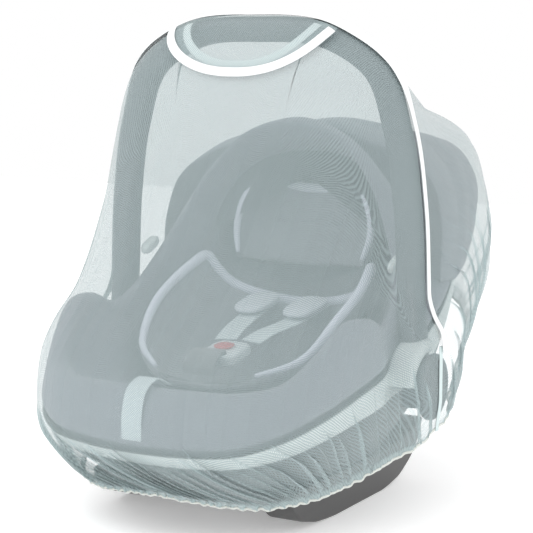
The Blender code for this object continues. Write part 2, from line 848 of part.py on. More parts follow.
net_mesh = make_material("net_mesh", (0.80, 0.88, 0.86), 0.8, 0.45)
white_tape = make_material("white_tape", (0.90, 0.91, 0.91), 0.75)
light_plastic = make_material("light_plastic", (0.72, 0.76, 0.77), 0.5)
dark_plastic = make_material("dark_plastic", (0.07, 0.07, 0.07), 0.55)
handle_plastic = make_material("handle_plastic", (0.16, 0.17, 0.18), 0.5)
seat_fabric = make_material("seat_fabric", (0.22, 0.22, 0.25), 0.9)
inlay_fabric = make_material("inlay_fabric", (0.30, 0.28, 0.31), 0.9)
pale_padding = make_material("pale_padding", (0.70, 0.72, 0.76), 0.85)
pale_webbing = make_material("pale_webbing", (0.62, 0.66, 0.68), 0.7)
red_button = make_material("red_button", (0.60, 0.05, 0.05), 0.4)

add_net(net_mesh)
add_flap(net_mesh)
add_crest_tape(white_tape)
add_binding("hole_binding", HOLE_D, 0.0, -BINDING_WIDTH, 0.0019, white_tape)
add_binding("flap_binding", FLAP_D, BINDING_WIDTH, 0.0, FLAP_LIFT + 0.0017, white_tape)
add_shell(dark_plastic, light_plastic)
add_pad(seat_fabric)
add_handle(handle_plastic, dark_plastic)
add_hood(seat_fabric)
add_base(dark_plastic)
add_inlay(inlay_fabric)
add_harness(pale_webbing, pale_padding, red_button)
add_front_strap(pale_webbing)
add_side_fittings(light_plastic)

for piece in part_collection.objects:
    piece.location.y -= MIDDLE_Y
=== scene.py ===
import math
import bpy
import numpy as np
from mathutils import Matrix


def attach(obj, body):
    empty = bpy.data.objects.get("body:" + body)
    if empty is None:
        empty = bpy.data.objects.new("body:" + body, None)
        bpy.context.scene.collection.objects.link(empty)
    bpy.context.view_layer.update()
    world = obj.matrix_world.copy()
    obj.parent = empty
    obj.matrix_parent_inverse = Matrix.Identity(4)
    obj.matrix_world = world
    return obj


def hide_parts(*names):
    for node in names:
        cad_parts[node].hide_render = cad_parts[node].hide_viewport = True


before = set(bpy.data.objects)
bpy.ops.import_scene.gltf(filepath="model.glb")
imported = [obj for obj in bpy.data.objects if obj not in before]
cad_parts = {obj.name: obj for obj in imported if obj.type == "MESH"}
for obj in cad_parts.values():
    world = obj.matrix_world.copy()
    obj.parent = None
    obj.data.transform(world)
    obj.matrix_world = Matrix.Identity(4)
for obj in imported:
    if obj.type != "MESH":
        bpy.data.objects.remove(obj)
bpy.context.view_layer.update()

# All tables measure y from the handle's pivots in metres; toFrame moves them to the frame.
seatFrame = {
    "middleY": 0.0331,
    "pivotHeight": 0.141,
    "tentMiddle": (0.0, 0.0, 0.24),
}


# numbers to surfaces
def toFrame(points):
    # points less the distance from the pivots to the middle of the part
    return np.asarray(points, float) - (0.0, seatFrame["middleY"], 0.0)


def smoothRows(guides, stations):
    # cubic Hermite rows through the guide rows: station 1.5 is halfway between guides 1 and 2
    guides = np.asarray(guides, float)
    spans = np.linalg.norm(np.diff(guides, axis=0), axis=2)[..., None] + 1e-9
    slopes = np.diff(guides, axis=0) / spans
    tangents = np.empty_like(guides)
    tangents[0], tangents[-1] = slopes[0], slopes[-1]
    before, after = spans[:-1], spans[1:]
    tangents[1:-1] = (slopes[:-1] * after + slopes[1:] * before) / (before + after)
    columns = np.arange(guides.shape[1])
    stations = np.broadcast_to(np.asarray(stations, float), (len(stations), len(columns)))
    low = np.clip(stations.astype(int), 0, len(guides) - 2)
    part = (stations - low)[..., None]
    width = spans[low, columns]
    start, end = guides[low, columns], guides[low + 1, columns]
    leave, arrive = tangents[low, columns] * width, tangents[low + 1, columns] * width
    square, cube = part**2, part**3
    return (start * (2 * cube - 3 * square + 1) + leave * (cube - 2 * square + part)
            + end * (3 * square - 2 * cube) + arrive * (cube - square))


def evenLine(points, count):
    # the smooth line through the points, cut into even steps
    points = np.asarray(points, float)
    fine = smoothRows(points[:, None, :], np.linspace(0, len(points) - 1, 900)[:, None])[:, 0]
    travelled = np.r_[0, np.cumsum(np.linalg.norm(np.diff(fine, axis=0), axis=1))]
    wanted = np.linspace(0, travelled[-1], count)
    return np.stack([np.interp(wanted, travelled, axis) for axis in fine.T], axis=1)


def acrossSeat(half, count):
    # a line from the left side to the right side, from the points of its right half
    half = np.asarray(half, float)
    return evenLine(np.concatenate((half * (-1, 1, 1), half[-2::-1])), count)


def roundSeat(half, steps=8):
    # a closed ring round the seat, with this many steps between the points of its half
    half = np.asarray(half, float)
    loop = np.concatenate((half, half[-2:0:-1] * (-1, 1, 1)))
    padded = np.concatenate((loop[-2:], loop, loop[:3]))
    count = len(loop) * steps
    return smoothRows(padded[:, None, :], (2 + np.arange(count) / steps)[:, None])[:, 0]


def unit(vectors):
    return vectors / (np.linalg.norm(vectors, axis=-1)[..., None] + 1e-12)


def ease(values, start, end):
    # 0 before start, 1 after end, and a smooth s between them
    share = np.clip((np.asarray(values, float) - start) / (end - start), 0, 1)
    return share * share * (3 - 2 * share)


def softNoise(values, seed, layers=4):
    # between -1 and 1: sines of rising pitch with seeded phases, each weaker than the last
    draw = np.random.default_rng(seed)
    total, weight = np.zeros_like(np.asarray(values, float)), 0.0
    for layer in range(layers):
        pitch = (layer + 1) * (1 + 0.35 * draw.random())
        total = total + np.sin(2 * math.pi * (values * pitch + draw.random())) / (layer + 1)
        weight += 1 / (layer + 1)
    return total / weight * 1.4


def bump(values, middle, width):
    # a bell of height 1 at the middle
    return np.exp(-(((values - middle) / width) ** 2))


def gridNormals(points, awayFrom):
    # across x down of a grid surface, turned so that they point away from a point inside
    across = np.gradient(points, axis=1)
    down = np.gradient(points, axis=0)
    normals = unit(np.cross(across, down))
    outward = np.sum(normals * (points - np.asarray(awayFrom)), axis=2).mean()
    return normals * (1.0 if outward >= 0 else -1.0), unit(across)


def gridQuads(rows, columns, closedColumns):
    # four corners of each cell of a rows by columns grid
    last = columns if closedColumns else columns - 1
    row, column = np.meshgrid(np.arange(rows - 1), np.arange(last), indexing="ij")
    following = (column + 1) % columns
    quads = np.stack((row * columns + column, row * columns + following,
                      (row + 1) * columns + following, (row + 1) * columns + column), axis=-1)
    return quads.reshape(-1, 4)


def signedVolume(points, triangles):
    a, b, c = (points[triangles[:, k]] for k in range(3))
    return float(np.einsum("ij,ij->i", a, np.cross(b, c)).sum() / 6)


def addSurface(name, points, material, closedColumns=False, caps=(), inside=None,
               clothUv=None, cover=None):
    # a mesh over a grid of points in the frame; caps are single points that close the two ends
    rows, columns = points.shape[:2]
    quads = gridQuads(rows, columns, closedColumns)
    vertices = points.reshape(-1, 3)
    fans = []
    for end, cap in enumerate(caps):
        centre = len(vertices)
        vertices = np.concatenate((vertices, np.asarray(cap, float)[None]))
        base = 0 if end == 0 else (rows - 1) * columns
        here = base + np.arange(columns)
        after = base + (np.arange(columns) + 1) % columns
        order = (after, here) if end == 0 else (here, after)
        fans.append(np.stack((*order, np.full(columns, centre)), axis=1))
    fans = np.concatenate(fans) if fans else np.zeros((0, 3), int)
    halves = np.concatenate((quads[:, :3], quads[:, [0, 2, 3]], fans))
    if closedColumns:
        flip = signedVolume(vertices - vertices.mean(axis=0), halves) < 0
    else:
        a, b, c = (vertices[halves[:, k]] for k in range(3))
        middle = np.asarray(inside if inside is not None else vertices.mean(axis=0), float)
        flip = float(np.sum(np.cross(b - a, c - a) * ((a + b + c) / 3 - middle))) < 0
    if flip:
        quads, fans = quads[:, ::-1], fans[:, ::-1]
    mesh = bpy.data.meshes.new(name)
    mesh.from_pydata(vertices.tolist(), [], quads.tolist() + fans.tolist())
    mesh.polygons.foreach_set("use_smooth", np.ones(len(mesh.polygons), bool))
    if clothUv is not None:
        layer = mesh.uv_layers.new(name="cloth")
        corner = np.empty(len(mesh.loops), np.int32)
        mesh.loops.foreach_get("vertex_index", corner)
        flat = clothUv.reshape(-1, 2)[np.minimum(corner, rows * columns - 1)]
        layer.data.foreach_set("uv", flat.astype(np.float32).ravel())
    if cover is not None:
        layer = mesh.attributes.new("cover", "FLOAT", "POINT")
        values = np.zeros(len(vertices), np.float32)
        values[: rows * columns] = cover.ravel()
        layer.data.foreach_set("value", values)
    mesh.update()
    piece = bpy.data.objects.new(name, mesh)
    bpy.context.scene.collection.objects.link(piece)
    piece.data.materials.append(material)
    return piece


def addLoft(name, lines, material):
    # a closed bar from the lines of its profile: every line runs its whole length
    lines = np.asarray(lines, float).transpose(1, 0, 2)
    caps = (lines[0].mean(axis=0), lines[-1].mean(axis=0))
    return addSurface(name, lines, material, closedColumns=True, caps=caps)


def sweptBar(name, path, side, profile, material, sizes=None):
    # the profile's (across, up) points carried along the path; side is its across direction
    path = np.asarray(path, float)
    along = unit(np.gradient(path, axis=0))
    side = np.broadcast_to(np.asarray(side, float), path.shape)
    side = unit(side - along * np.sum(side * along, axis=1)[:, None])
    up = np.cross(along, side)
    sizes = np.ones(len(path)) if sizes is None else sizes
    profile = np.asarray(profile, float)
    points = (path[:, None] + side[:, None] * profile[None, :, :1] * sizes[:, None, None]
              + up[:, None] * profile[None, :, 1:] * sizes[:, None, None])
    return addSurface(name, points, material, closedColumns=True, caps=(path[0], path[-1]))


def roundProfile(width, height, power=2.6, count=20):
    # a superellipse: |across/half width|^power + |up/half height|^power = 1
    turn = np.linspace(0, 2 * math.pi, count, endpoint=False)
    cosine, sine = np.cos(turn), np.sin(turn)
    return np.stack((width / 2 * np.sign(cosine) * np.abs(cosine) ** (2 / power),
                     height / 2 * np.sign(sine) * np.abs(sine) ** (2 / power)), axis=1)


def addPad(name, middle, thickness, material, awayFrom, edge, channels=1.0):
    # a padded sheet: both faces lie thickness / 2 off the middle surface, and meet at its rim
    normals, _ = gridNormals(middle, awayFrom)
    rows, columns = middle.shape[:2]
    v = np.linspace(-1, 1, rows)[:, None]
    u = np.linspace(-1, 1, columns)[None, :]
    swell = ((1 - np.abs(u) ** edge) * (1 - np.abs(v) ** edge)).clip(0) ** 0.5 * channels
    offset = normals * (swell * thickness / 2)[..., None]
    front, back = middle + offset, middle - offset
    loops = np.concatenate((front, back[:, -2:0:-1]), axis=1)
    # the first and last rows have no swell, so both faces share them as a closed edge
    return addSurface(name, loops, material, closedColumns=True,
                      caps=(middle[0].mean(axis=0), middle[-1].mean(axis=0)))


def turned(name, profile, centre, axis, material, count=64):
    # a profile of (radius, height) turned about an axis through the centre
    axis = unit(np.asarray(axis, float))
    helper = np.array((0.0, 0.0, 1.0)) if abs(axis[2]) < 0.9 else np.array((1.0, 0.0, 0.0))
    first = unit(np.cross(axis, helper))
    second = np.cross(axis, first)
    turn = np.linspace(0, 2 * math.pi, count, endpoint=False)
    ring = np.cos(turn)[:, None] * first + np.sin(turn)[:, None] * second
    profile = np.asarray(profile, float)
    points = (np.asarray(centre, float) + profile[:, None, :1] * ring[None]
              + profile[:, None, 1:] * axis)
    caps = (points[0].mean(axis=0), points[-1].mean(axis=0))
    return addSurface(name, points, material, closedColumns=True, caps=caps)


def finishPiece(piece, slot, *nodes):
    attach(piece, "root")
    if nodes:
        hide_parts(*nodes)
    return piece


# materials
def plainMaterial(name, color, roughness, **sockets):
    made = bpy.data.materials.new(name)
    made.use_nodes = True
    shader = made.node_tree.nodes["Principled BSDF"]
    shader.inputs["Base Color"].default_value = (*color, 1.0)
    shader.inputs["Roughness"].default_value = roughness
    for socket, value in sockets.items():
        shader.inputs[socket.replace("_", " ")].default_value = value
    return made, made.node_tree.nodes, made.node_tree.links, shader


def addMath(nodes, links, operation, first, second=None, clamp=False):
    made = nodes.new("ShaderNodeMath")
    made.operation = operation
    made.use_clamp = clamp
    for socket, value in zip(made.inputs, (first, second)):
        if value is None:
            continue
        if isinstance(value, (int, float)):
            socket.default_value = value
        else:
            links.new(value, socket)
    return made.outputs[0]


def waveBands(nodes, links, coordinates, direction, pitch):
    # sine bands across one axis, with one band in each pitch of metres
    made = nodes.new("ShaderNodeTexWave")
    made.bands_direction = direction
    made.inputs["Scale"].default_value = math.pi / 10 / pitch
    links.new(coordinates, made.inputs["Vector"])
    return made.outputs["Fac"]


def addBump(nodes, links, height, distance, shader, strength=1.0):
    made = nodes.new("ShaderNodeBump")
    made.inputs["Distance"].default_value = distance
    made.inputs["Strength"].default_value = strength
    links.new(height, made.inputs["Height"])
    links.new(made.outputs["Normal"], shader.inputs["Normal"])


def speckle(nodes, links, coordinates, scale, detail=2.0):
    made = nodes.new("ShaderNodeTexNoise")
    made.inputs["Scale"].default_value = scale
    made.inputs["Detail"].default_value = detail
    links.new(coordinates, made.inputs["Vector"])
    return made.outputs["Fac"]


def twoTone(nodes, links, share, dark, light, shader):
    made = nodes.new("ShaderNodeMix")
    made.data_type = "RGBA"
    made.inputs[6].default_value = (*dark, 1.0)
    made.inputs[7].default_value = (*light, 1.0)
    links.new(share, made.inputs[0])
    links.new(made.outputs[2], shader.inputs["Base Color"])


def fabricMaterial(name, color, pitch, relief, contrast=0.12, roughness=0.85, sheen=0.3):
    # woven or knitted cloth: crossed bands of threads, and a slow change of tone
    made, nodes, links, shader = plainMaterial(name, color, roughness)
    shader.inputs["Sheen Weight"].default_value = sheen
    shader.inputs["Sheen Roughness"].default_value = 0.5
    coordinates = nodes.new("ShaderNodeTexCoord").outputs["Object"]
    weft = waveBands(nodes, links, coordinates, "X", pitch)
    warp = waveBands(nodes, links, coordinates, "DIAGONAL", pitch)
    threads = addMath(nodes, links, "MULTIPLY", weft, warp)
    grain = speckle(nodes, links, coordinates, 0.7 / pitch)
    tone = speckle(nodes, links, coordinates, 14.0)
    mixed = addMath(nodes, links, "ADD", addMath(nodes, links, "MULTIPLY", grain, 0.6),
                    addMath(nodes, links, "MULTIPLY", tone, 0.4), clamp=True)
    dark = tuple(c * (1 - contrast) for c in color)
    light = tuple(min(1.0, c * (1 + contrast)) for c in color)
    twoTone(nodes, links, mixed, dark, light, shader)
    height = addMath(nodes, links, "ADD", threads, addMath(nodes, links, "MULTIPLY", grain, 0.5))
    addBump(nodes, links, height, relief, shader, 0.6)
    return made


def plasticMaterial(name, color, roughness, grainSize=0.0012, relief=0.00012, contrast=0.05):
    # moulded plastic: a fine grain in the relief and a faint change of tone
    made, nodes, links, shader = plainMaterial(name, color, roughness)
    coordinates = nodes.new("ShaderNodeTexCoord").outputs["Object"]
    grain = speckle(nodes, links, coordinates, 1 / grainSize, 3.0)
    tone = speckle(nodes, links, coordinates, 9.0)
    dark = tuple(c * (1 - contrast) for c in color)
    light = tuple(min(1.0, c * (1 + contrast)) for c in color)
    twoTone(nodes, links, tone, dark, light, shader)
    addBump(nodes, links, grain, relief, shader, 0.5)
    return made


netLook = {
    "color": (0.44, 0.535, 0.545),
    "cover": 0.46,          # share of the light that one flat layer stops
    "pitch": 0.0017,        # metres from thread to thread
    "contrast": 0.30,
}


def netMaterial(name, look):
    # fine mesh: crossed threads with open cells between them, denser where it is gathered
    made, nodes, links, shader = plainMaterial(name, look["color"], 0.75)
    shader.inputs["Sheen Weight"].default_value = 0.35
    shader.inputs["Sheen Roughness"].default_value = 0.45
    uv = nodes.new("ShaderNodeUVMap")
    uv.uv_map = "cloth"
    turnedUv = nodes.new("ShaderNodeMapping")
    turnedUv.inputs["Rotation"].default_value = (0, 0, math.radians(45))
    links.new(uv.outputs["UV"], turnedUv.inputs["Vector"])
    one = waveBands(nodes, links, turnedUv.outputs["Vector"], "X", look["pitch"])
    other = waveBands(nodes, links, turnedUv.outputs["Vector"], "Y", look["pitch"])
    threads = addMath(nodes, links, "MAXIMUM", one, other)
    swing = addMath(nodes, links, "MULTIPLY", addMath(nodes, links, "SUBTRACT", threads, 0.7),
                    look["contrast"])
    attribute = nodes.new("ShaderNodeAttribute")
    attribute.attribute_name = "cover"
    links.new(addMath(nodes, links, "ADD", attribute.outputs["Fac"], swing, clamp=True),
              shader.inputs["Alpha"])
    addBump(nodes, links, threads, 0.0002, shader, 0.3)
    return made


def tapeMaterial(name, color):
    # cotton tape with a fine twill
    return fabricMaterial(name, color, 0.0011, 0.00015, contrast=0.04, roughness=0.8, sheen=0.2)


netMesh = netMaterial("netMesh", netLook)
whiteTape = tapeMaterial("whiteTape", (0.84, 0.855, 0.855))
paleTape = tapeMaterial("paleTape", (0.78, 0.84, 0.84))
seamTape = tapeMaterial("seamTape", (0.62, 0.72, 0.72))
# the hem cord: a white-ish cord, its colour darkened and browned by painted shade from under the
# rim
hemCordPaintedShade = tapeMaterial("hemCordPaintedShade", (0.66, 0.68, 0.64))
padCloth = fabricMaterial("padCloth", (0.22, 0.215, 0.255), 0.0022, 0.0004)
hoodCloth = fabricMaterial("hoodCloth", (0.20, 0.205, 0.235), 0.0018, 0.0003)
inlayCloth = fabricMaterial("inlayCloth", (0.24, 0.235, 0.265), 0.0020, 0.0004)
rollCloth = fabricMaterial("rollCloth", (0.74, 0.75, 0.86), 0.0016, 0.0003, contrast=0.06)
paleWebbing = fabricMaterial("paleWebbing", (0.66, 0.72, 0.74), 0.0015, 0.0003, contrast=0.06)
palePadding = fabricMaterial("palePadding", (0.66, 0.68, 0.74), 0.0018, 0.0003, contrast=0.06)
crotchCloth = fabricMaterial("crotchCloth", (0.20, 0.195, 0.21), 0.0018, 0.0003)
shellPlastic = plasticMaterial("shellPlastic", (0.055, 0.056, 0.060), 0.5)
basePlastic = plasticMaterial("basePlastic", (0.070, 0.070, 0.070), 0.42)
rimPlastic = plasticMaterial("rimPlastic", (0.74, 0.78, 0.77), 0.45)
handlePlastic = plasticMaterial("handlePlastic", (0.085, 0.092, 0.105), 0.5)
discPlastic = plasticMaterial("discPlastic", (0.10, 0.107, 0.118), 0.42)
bucklePlastic = plasticMaterial("bucklePlastic", (0.70, 0.73, 0.75), 0.4)
redPlastic = plasticMaterial("redPlastic", (0.62, 0.045, 0.05), 0.3)
floorPaint = plainMaterial("floorPaint", (0.95, 0.95, 0.95), 0.9,
                           Emission_Color=(1, 1, 1, 1), Emission_Strength=0.3)[0]
print("materials made")

# the handle's line, which carries the net
handleBar = {
    "halfWidths": (0.1925, 0.1850, 0.1800, 0.1670, 0.1435, 0.0890, 0.0000),
    "heights": (0.000, 0.095, 0.190, 0.273, 0.335, 0.370, 0.379),
    "radius": 0.0140,
    "widening": 1.2,
    "coverX": 0.2197,
    "coverTop": 0.090,
    "coverRise": 0.045,
    "seamOffset": 0.0176,
    "tapeOffset": 0.0203,
}


def handleLine(count):
    half = [(x, 0.0, seatFrame["pivotHeight"] + z)
            for x, z in zip(handleBar["halfWidths"], handleBar["heights"])]
    return acrossSeat(half, count)


def roundTheHandle(count, offset, angle, lowest, pinch=0.3):
    # the handle's line moved out by the offset, turned by the angle in degrees towards +y
    line = handleLine(400)
    line = line[line[:, 2] >= seatFrame["pivotHeight"] + lowest]
    tangent = unit(np.gradient(line, axis=0))
    outward = np.stack((-tangent[:, 2], 0 * tangent[:, 0], tangent[:, 0]), axis=1)
    turn = math.radians(angle)
    sideways = np.array((0.0, handleBar["widening"], 0.0)) * math.sin(turn)
    moved = line + offset * (outward * math.cos(turn) + sideways)
    # near its ends the cloth swings out to pass over the middle of the pivot discs
    height = line[:, 2] - seatFrame["pivotHeight"]
    share = ease(handleBar["coverTop"] - height, 0, handleBar["coverRise"])
    outermost = handleBar["coverX"] + (offset - handleBar["seamOffset"]) * 1.5
    moved[:, 0] += (np.sign(line[:, 0]) * outermost - moved[:, 0]) * share
    moved[:, 1] *= 1 + (pinch - 1) * share
    picked = np.linspace(0, len(moved) - 1, 50).round().astype(int)
    return evenLine(moved[picked], count)


# the net's guide rows, from the pivot to the middle of the seat: x, y, z
netShape = {
    "frontTopOfPad": (
        (0.2195, -0.0004, 0.160), (0.2165, -0.045, 0.182), (0.2000, -0.088, 0.200),
        (0.1888, -0.128, 0.200), (0.1760, -0.168, 0.182), (0.1512, -0.212, 0.167),
        (0.1140, -0.242, 0.160), (0.0570, -0.259, 0.157), (0.0000, -0.263, 0.156)),
    "frontRim": (
        (0.2195, -0.0004, 0.130), (0.2187, -0.041, 0.136), (0.2010, -0.082, 0.149),
        (0.1882, -0.115, 0.148), (0.1745, -0.168, 0.131), (0.1510, -0.215, 0.115),
        (0.1145, -0.244, 0.103), (0.0570, -0.259, 0.098), (0.0000, -0.263, 0.097)),
    "frontHem": (
        (0.2160, -0.0004, 0.096), (0.2110, -0.032, 0.087), (0.1860, -0.072, 0.068),
        (0.1660, -0.103, 0.054), (0.1450, -0.140, 0.044), (0.1200, -0.172, 0.040),
        (0.0860, -0.197, 0.041), (0.0440, -0.212, 0.045), (0.0000, -0.216, 0.047)),
    "rearShoulder": (
        (0.2195, 0.0004, 0.160), (0.2165, 0.044, 0.192), (0.2030, 0.095, 0.248),
        (0.1900, 0.152, 0.300), (0.1690, 0.224, 0.346), (0.1340, 0.278, 0.377),
        (0.0700, 0.302, 0.392), (0.0000, 0.307, 0.396)),
    "rearWidest": (
        (0.2195, 0.0004, 0.130), (0.2187, 0.042, 0.144), (0.2060, 0.090, 0.176),
        (0.1950, 0.150, 0.216), (0.1780, 0.228, 0.270), (0.1450, 0.290, 0.294),
        (0.0800, 0.327, 0.299), (0.0000, 0.333, 0.299)),
    "rearHem": (
        (0.2160, 0.0004, 0.096), (0.2110, 0.034, 0.099), (0.1940, 0.078, 0.116),
        (0.1780, 0.140, 0.146), (0.1580, 0.205, 0.180), (0.1160, 0.252, 0.202),
        (0.0600, 0.275, 0.209), (0.0000, 0.280, 0.210)),
}


def saggedRow(upper, lower, share, depth):
    # a row between two rows, pulled in towards the middle of the tent
    middle = upper * (1 - share) + lower * share
    inward = unit(np.array(seatFrame["tentMiddle"]) - middle)
    weight = np.sin(np.linspace(0, math.pi, len(middle)))[:, None] ** 1.5
    return middle + inward * depth * weight


def frontGuides(columns):
    # seam 0, tape's edge 1, two free rows 2 and 3, pad 4, rim 5, skirt 6, hem 7
    seam = roundTheHandle(columns, handleBar["seamOffset"], -1, 0.030)
    edge = roundTheHandle(columns, handleBar["seamOffset"], -48, 0.026)
    pad = acrossSeat(netShape["frontTopOfPad"], columns)
    rim = acrossSeat(netShape["frontRim"], columns)
    hem = acrossSeat(netShape["frontHem"], columns)
    skirt = rim * 0.45 + hem * 0.55 + (0, 0, -0.004)
    upper, lower = saggedRow(edge, pad, 0.33, 0.018), saggedRow(edge, pad, 0.70, 0.022)
    return np.stack((seam, edge, upper, lower, pad, rim, skirt, hem))


def rearGuides(columns):
    # seam 0, tape's edge 1, a free row 2, shoulder 3, widest row 4, hem 5
    seam = roundTheHandle(columns, handleBar["seamOffset"], 1, 0.030)
    edge = roundTheHandle(columns, handleBar["seamOffset"], 48, 0.034)
    shoulder = acrossSeat(netShape["rearShoulder"], columns)
    widest = acrossSeat(netShape["rearWidest"], columns)
    hem = acrossSeat(netShape["rearHem"], columns)
    return np.stack((seam, edge, saggedRow(edge, shoulder, 0.5, 0.010), shoulder, widest, hem))


def clothMeasure(points):
    # each vertex's place on the flat cloth in metres: lengths summed across and down
    across = np.linalg.norm(np.diff(points, axis=1), axis=2)
    down = np.linalg.norm(np.diff(points, axis=0), axis=2)
    u = np.concatenate((np.zeros((len(points), 1)), np.cumsum(across, axis=1)), axis=1)
    v = np.concatenate((np.zeros((1, points.shape[1])), np.cumsum(down, axis=0)), axis=0)
    u = u - u[:, points.shape[1] // 2][:, None]
    return np.stack((u, v), axis=-1)


def surfaceArea(points):
    a, b = points[:-1, :-1], points[1:, :-1]
    c, d = points[1:, 1:], points[:-1, 1:]
    first = np.linalg.norm(np.cross(b - a, c - a), axis=2)
    return float((first + np.linalg.norm(np.cross(c - a, d - a), axis=2)).sum() / 2)


def addFolds(base, heights, lean, awayFrom):
    # heights off the base surface; lean lays the folds over sideways like loose pleats
    normals, across = gridNormals(base, awayFrom)
    folded = base + normals * heights[..., None] + across * (heights * lean)[..., None]
    foldedNormals, _ = gridNormals(folded, awayFrom)
    facing = np.abs(np.sum(foldedNormals * normals, axis=2))
    # light crosses a tilted layer on a longer way, so folds on edge look denser
    cover = 1 - (1 - netLook["cover"]) ** (1 / np.clip(facing, 0.22, 1))
    return folded, cover


frontFolds = {
    "sideCount": 34,        # folds in the whole width, if all were as wide as at the sides
    "frontCount": 62,       # the same for the narrow folds under the foot end
    "height": 0.0052,
    "lean": 2.5,
    "slantFront": 0.115,
    "slantSide": 0.012,
    "ruffles": 105,
    "ruffleHeight": 0.0026,
    "columns": 600,
    "rowsAbove": 28,
    "rowsBelow": 126,
}
handHole = {"halfWidth": 0.078, "depth": 0.080, "tapeWidth": 0.0092, "tapeLift": 0.0018}
handFlap = {
    "halfWidth": 0.106,
    "depth": 0.098,
    "top": 0.0175,
    "lift": 0.0042,
    "tapeWidth": 0.0095,
    "tapeLift": 0.0055,
}
highPart = seatFrame["pivotHeight"] + 0.30


def dDepth(x, shape):
    # how far down from the seam the D reaches at this distance from its middle
    share = np.clip(np.abs(x) / shape["halfWidth"], 0, 1)
    return shape["depth"] * (1 - share**2.6) ** (1 / 2.2)


def stationsDown(guides, down):
    # the front panel's stations at distances down from the seam
    first = np.linalg.norm(guides[1] - guides[0], axis=1)
    second = np.linalg.norm(guides[2] - guides[1], axis=1)
    return np.where(down < first, down / first, 1 + (down - first) / second)


fineGuides = frontGuides(801)


def onFrontPanel(x, down, lift):
    # points over the upper front panel, at x, at a distance down from the seam
    high = np.flatnonzero(fineGuides[1, :, 2] > highPart)
    place = np.interp(x, fineGuides[1, high, 0], high)
    low = place.astype(int)
    part = (place - low)[:, None]
    guides = fineGuides[:, low] * (1 - part) + fineGuides[:, low + 1] * part
    step = 0.0005
    here, below = (smoothRows(guides, stationsDown(guides, d)[None, :])[0]
                   for d in (down, down + step))
    beside = here + (fineGuides[2, low + 1] - fineGuides[2, low])
    normal = unit(np.cross(below - here, beside - here))
    return here + normal * np.asarray(lift)[..., None]


def foldRidges(turns, stations, start, length, seed):
    # one ridge for each whole turn, with its own height and start, sharp where it begins
    draw = np.random.default_rng(seed).random((400, 3))
    index = np.round(turns).astype(int) % 400
    begins = start + (draw[index, 0] - 0.5) * 0.55
    grow = ease(stations, begins, begins + length * (0.6 + 0.8 * draw[index, 1]))
    wave = 0.5 + 0.5 * np.cos(2 * math.pi * turns)
    return (0.35 + 0.65 * draw[index, 2]) * grow**0.7 * wave ** (1.15 + 5 * (1 - grow))


def makeFrontPanel(folds):
    columns = folds["columns"]
    guides = frontGuides(columns)
    high = guides[1, :, 2] > highPart
    bay = stationsDown(guides, np.where(high, dDepth(guides[1, :, 0], handHole), 0.0))
    upper = bay + np.linspace(0, 1, folds["rowsAbove"])[:, None] * (2.0 - bay)
    lower = np.linspace(2, 7, folds["rowsBelow"])[1:, None] + np.zeros((1, columns))
    stations = np.concatenate((upper, lower))
    base = smoothRows(guides, stations)
    place = np.linspace(0, 1, columns)[None, :]
    down = (stations - 5) / 2
    side = np.abs(2 * place - 1)
    front = ease(1 - side, 0.25, 0.70)
    slant = folds["slantSide"] + (folds["slantFront"] - folds["slantSide"]) * front
    shifted = place - slant * down
    # turns of the fold wave: their density swells from the sides to the front
    extra = (folds["frontCount"] - folds["sideCount"]) * 0.20 * np.tanh((shifted - 0.45) / 0.20)
    turns = folds["sideCount"] * shifted + extra + 0.35 * softNoise(shifted * 7, 11)
    start = 5.02 - 1.15 * bump(side, 0.80, 0.13) - 0.15 * front
    ridges = foldRidges(turns, stations, start, 0.75, 12)
    ends = ease(1 - side, 0.02, 0.08)
    settle = 1 - 0.5 * ease(stations, 6.5, 6.95)
    heights = folds["height"] * ridges * ends * settle
    # ruffles on the elastic, which flare out again at the very edge
    casing = ease(stations, 6.74, 6.9)
    rufflePhase = 2 * math.pi * folds["ruffles"] * place + 5.0 * softNoise(place * 17, 14)
    ruffle = folds["ruffleHeight"] * (0.6 + 0.5 * softNoise(place * 41, 15))
    heights = heights + casing * ends * ruffle * (0.5 + 0.5 * np.sin(rufflePhase))
    # faint tension lines in the taut cloth
    lines = softNoise(place * 26 + 0.05 * stations, 16) * ease(stations, 1.4, 2.4)
    heights = heights + 0.00045 * lines * (1 - ease(stations, 4.5, 5.2)) * ends
    lean = folds["lean"] * (1 - 0.8 * casing)
    folded, cover = addFolds(base, heights, lean, seatFrame["tentMiddle"])
    folded[..., 2] -= ease(stations, 6.88, 7.0) * ends * 0.0011 * (1 + np.cos(rufflePhase))
    cover = np.clip(cover + 0.25 * casing, 0, 0.96)
    points = toFrame(folded)
    piece = addSurface("netFrontPanel", points, netMesh, clothUv=clothMeasure(base),
                       cover=cover, inside=(0, 0, 0.24))
    area = surfaceArea(points)
    print(f"front panel made, {area:.3f} square metres")
    return finishPiece(piece, "net_mesh", "net_front_panel"), area, folded[-1]


rearFolds = {
    "count": 30,
    "height": 0.0056,
    "lean": 2.1,
    "ruffles": 95,
    "ruffleHeight": 0.0026,
    "columns": 500,
    "rows": 130,
}


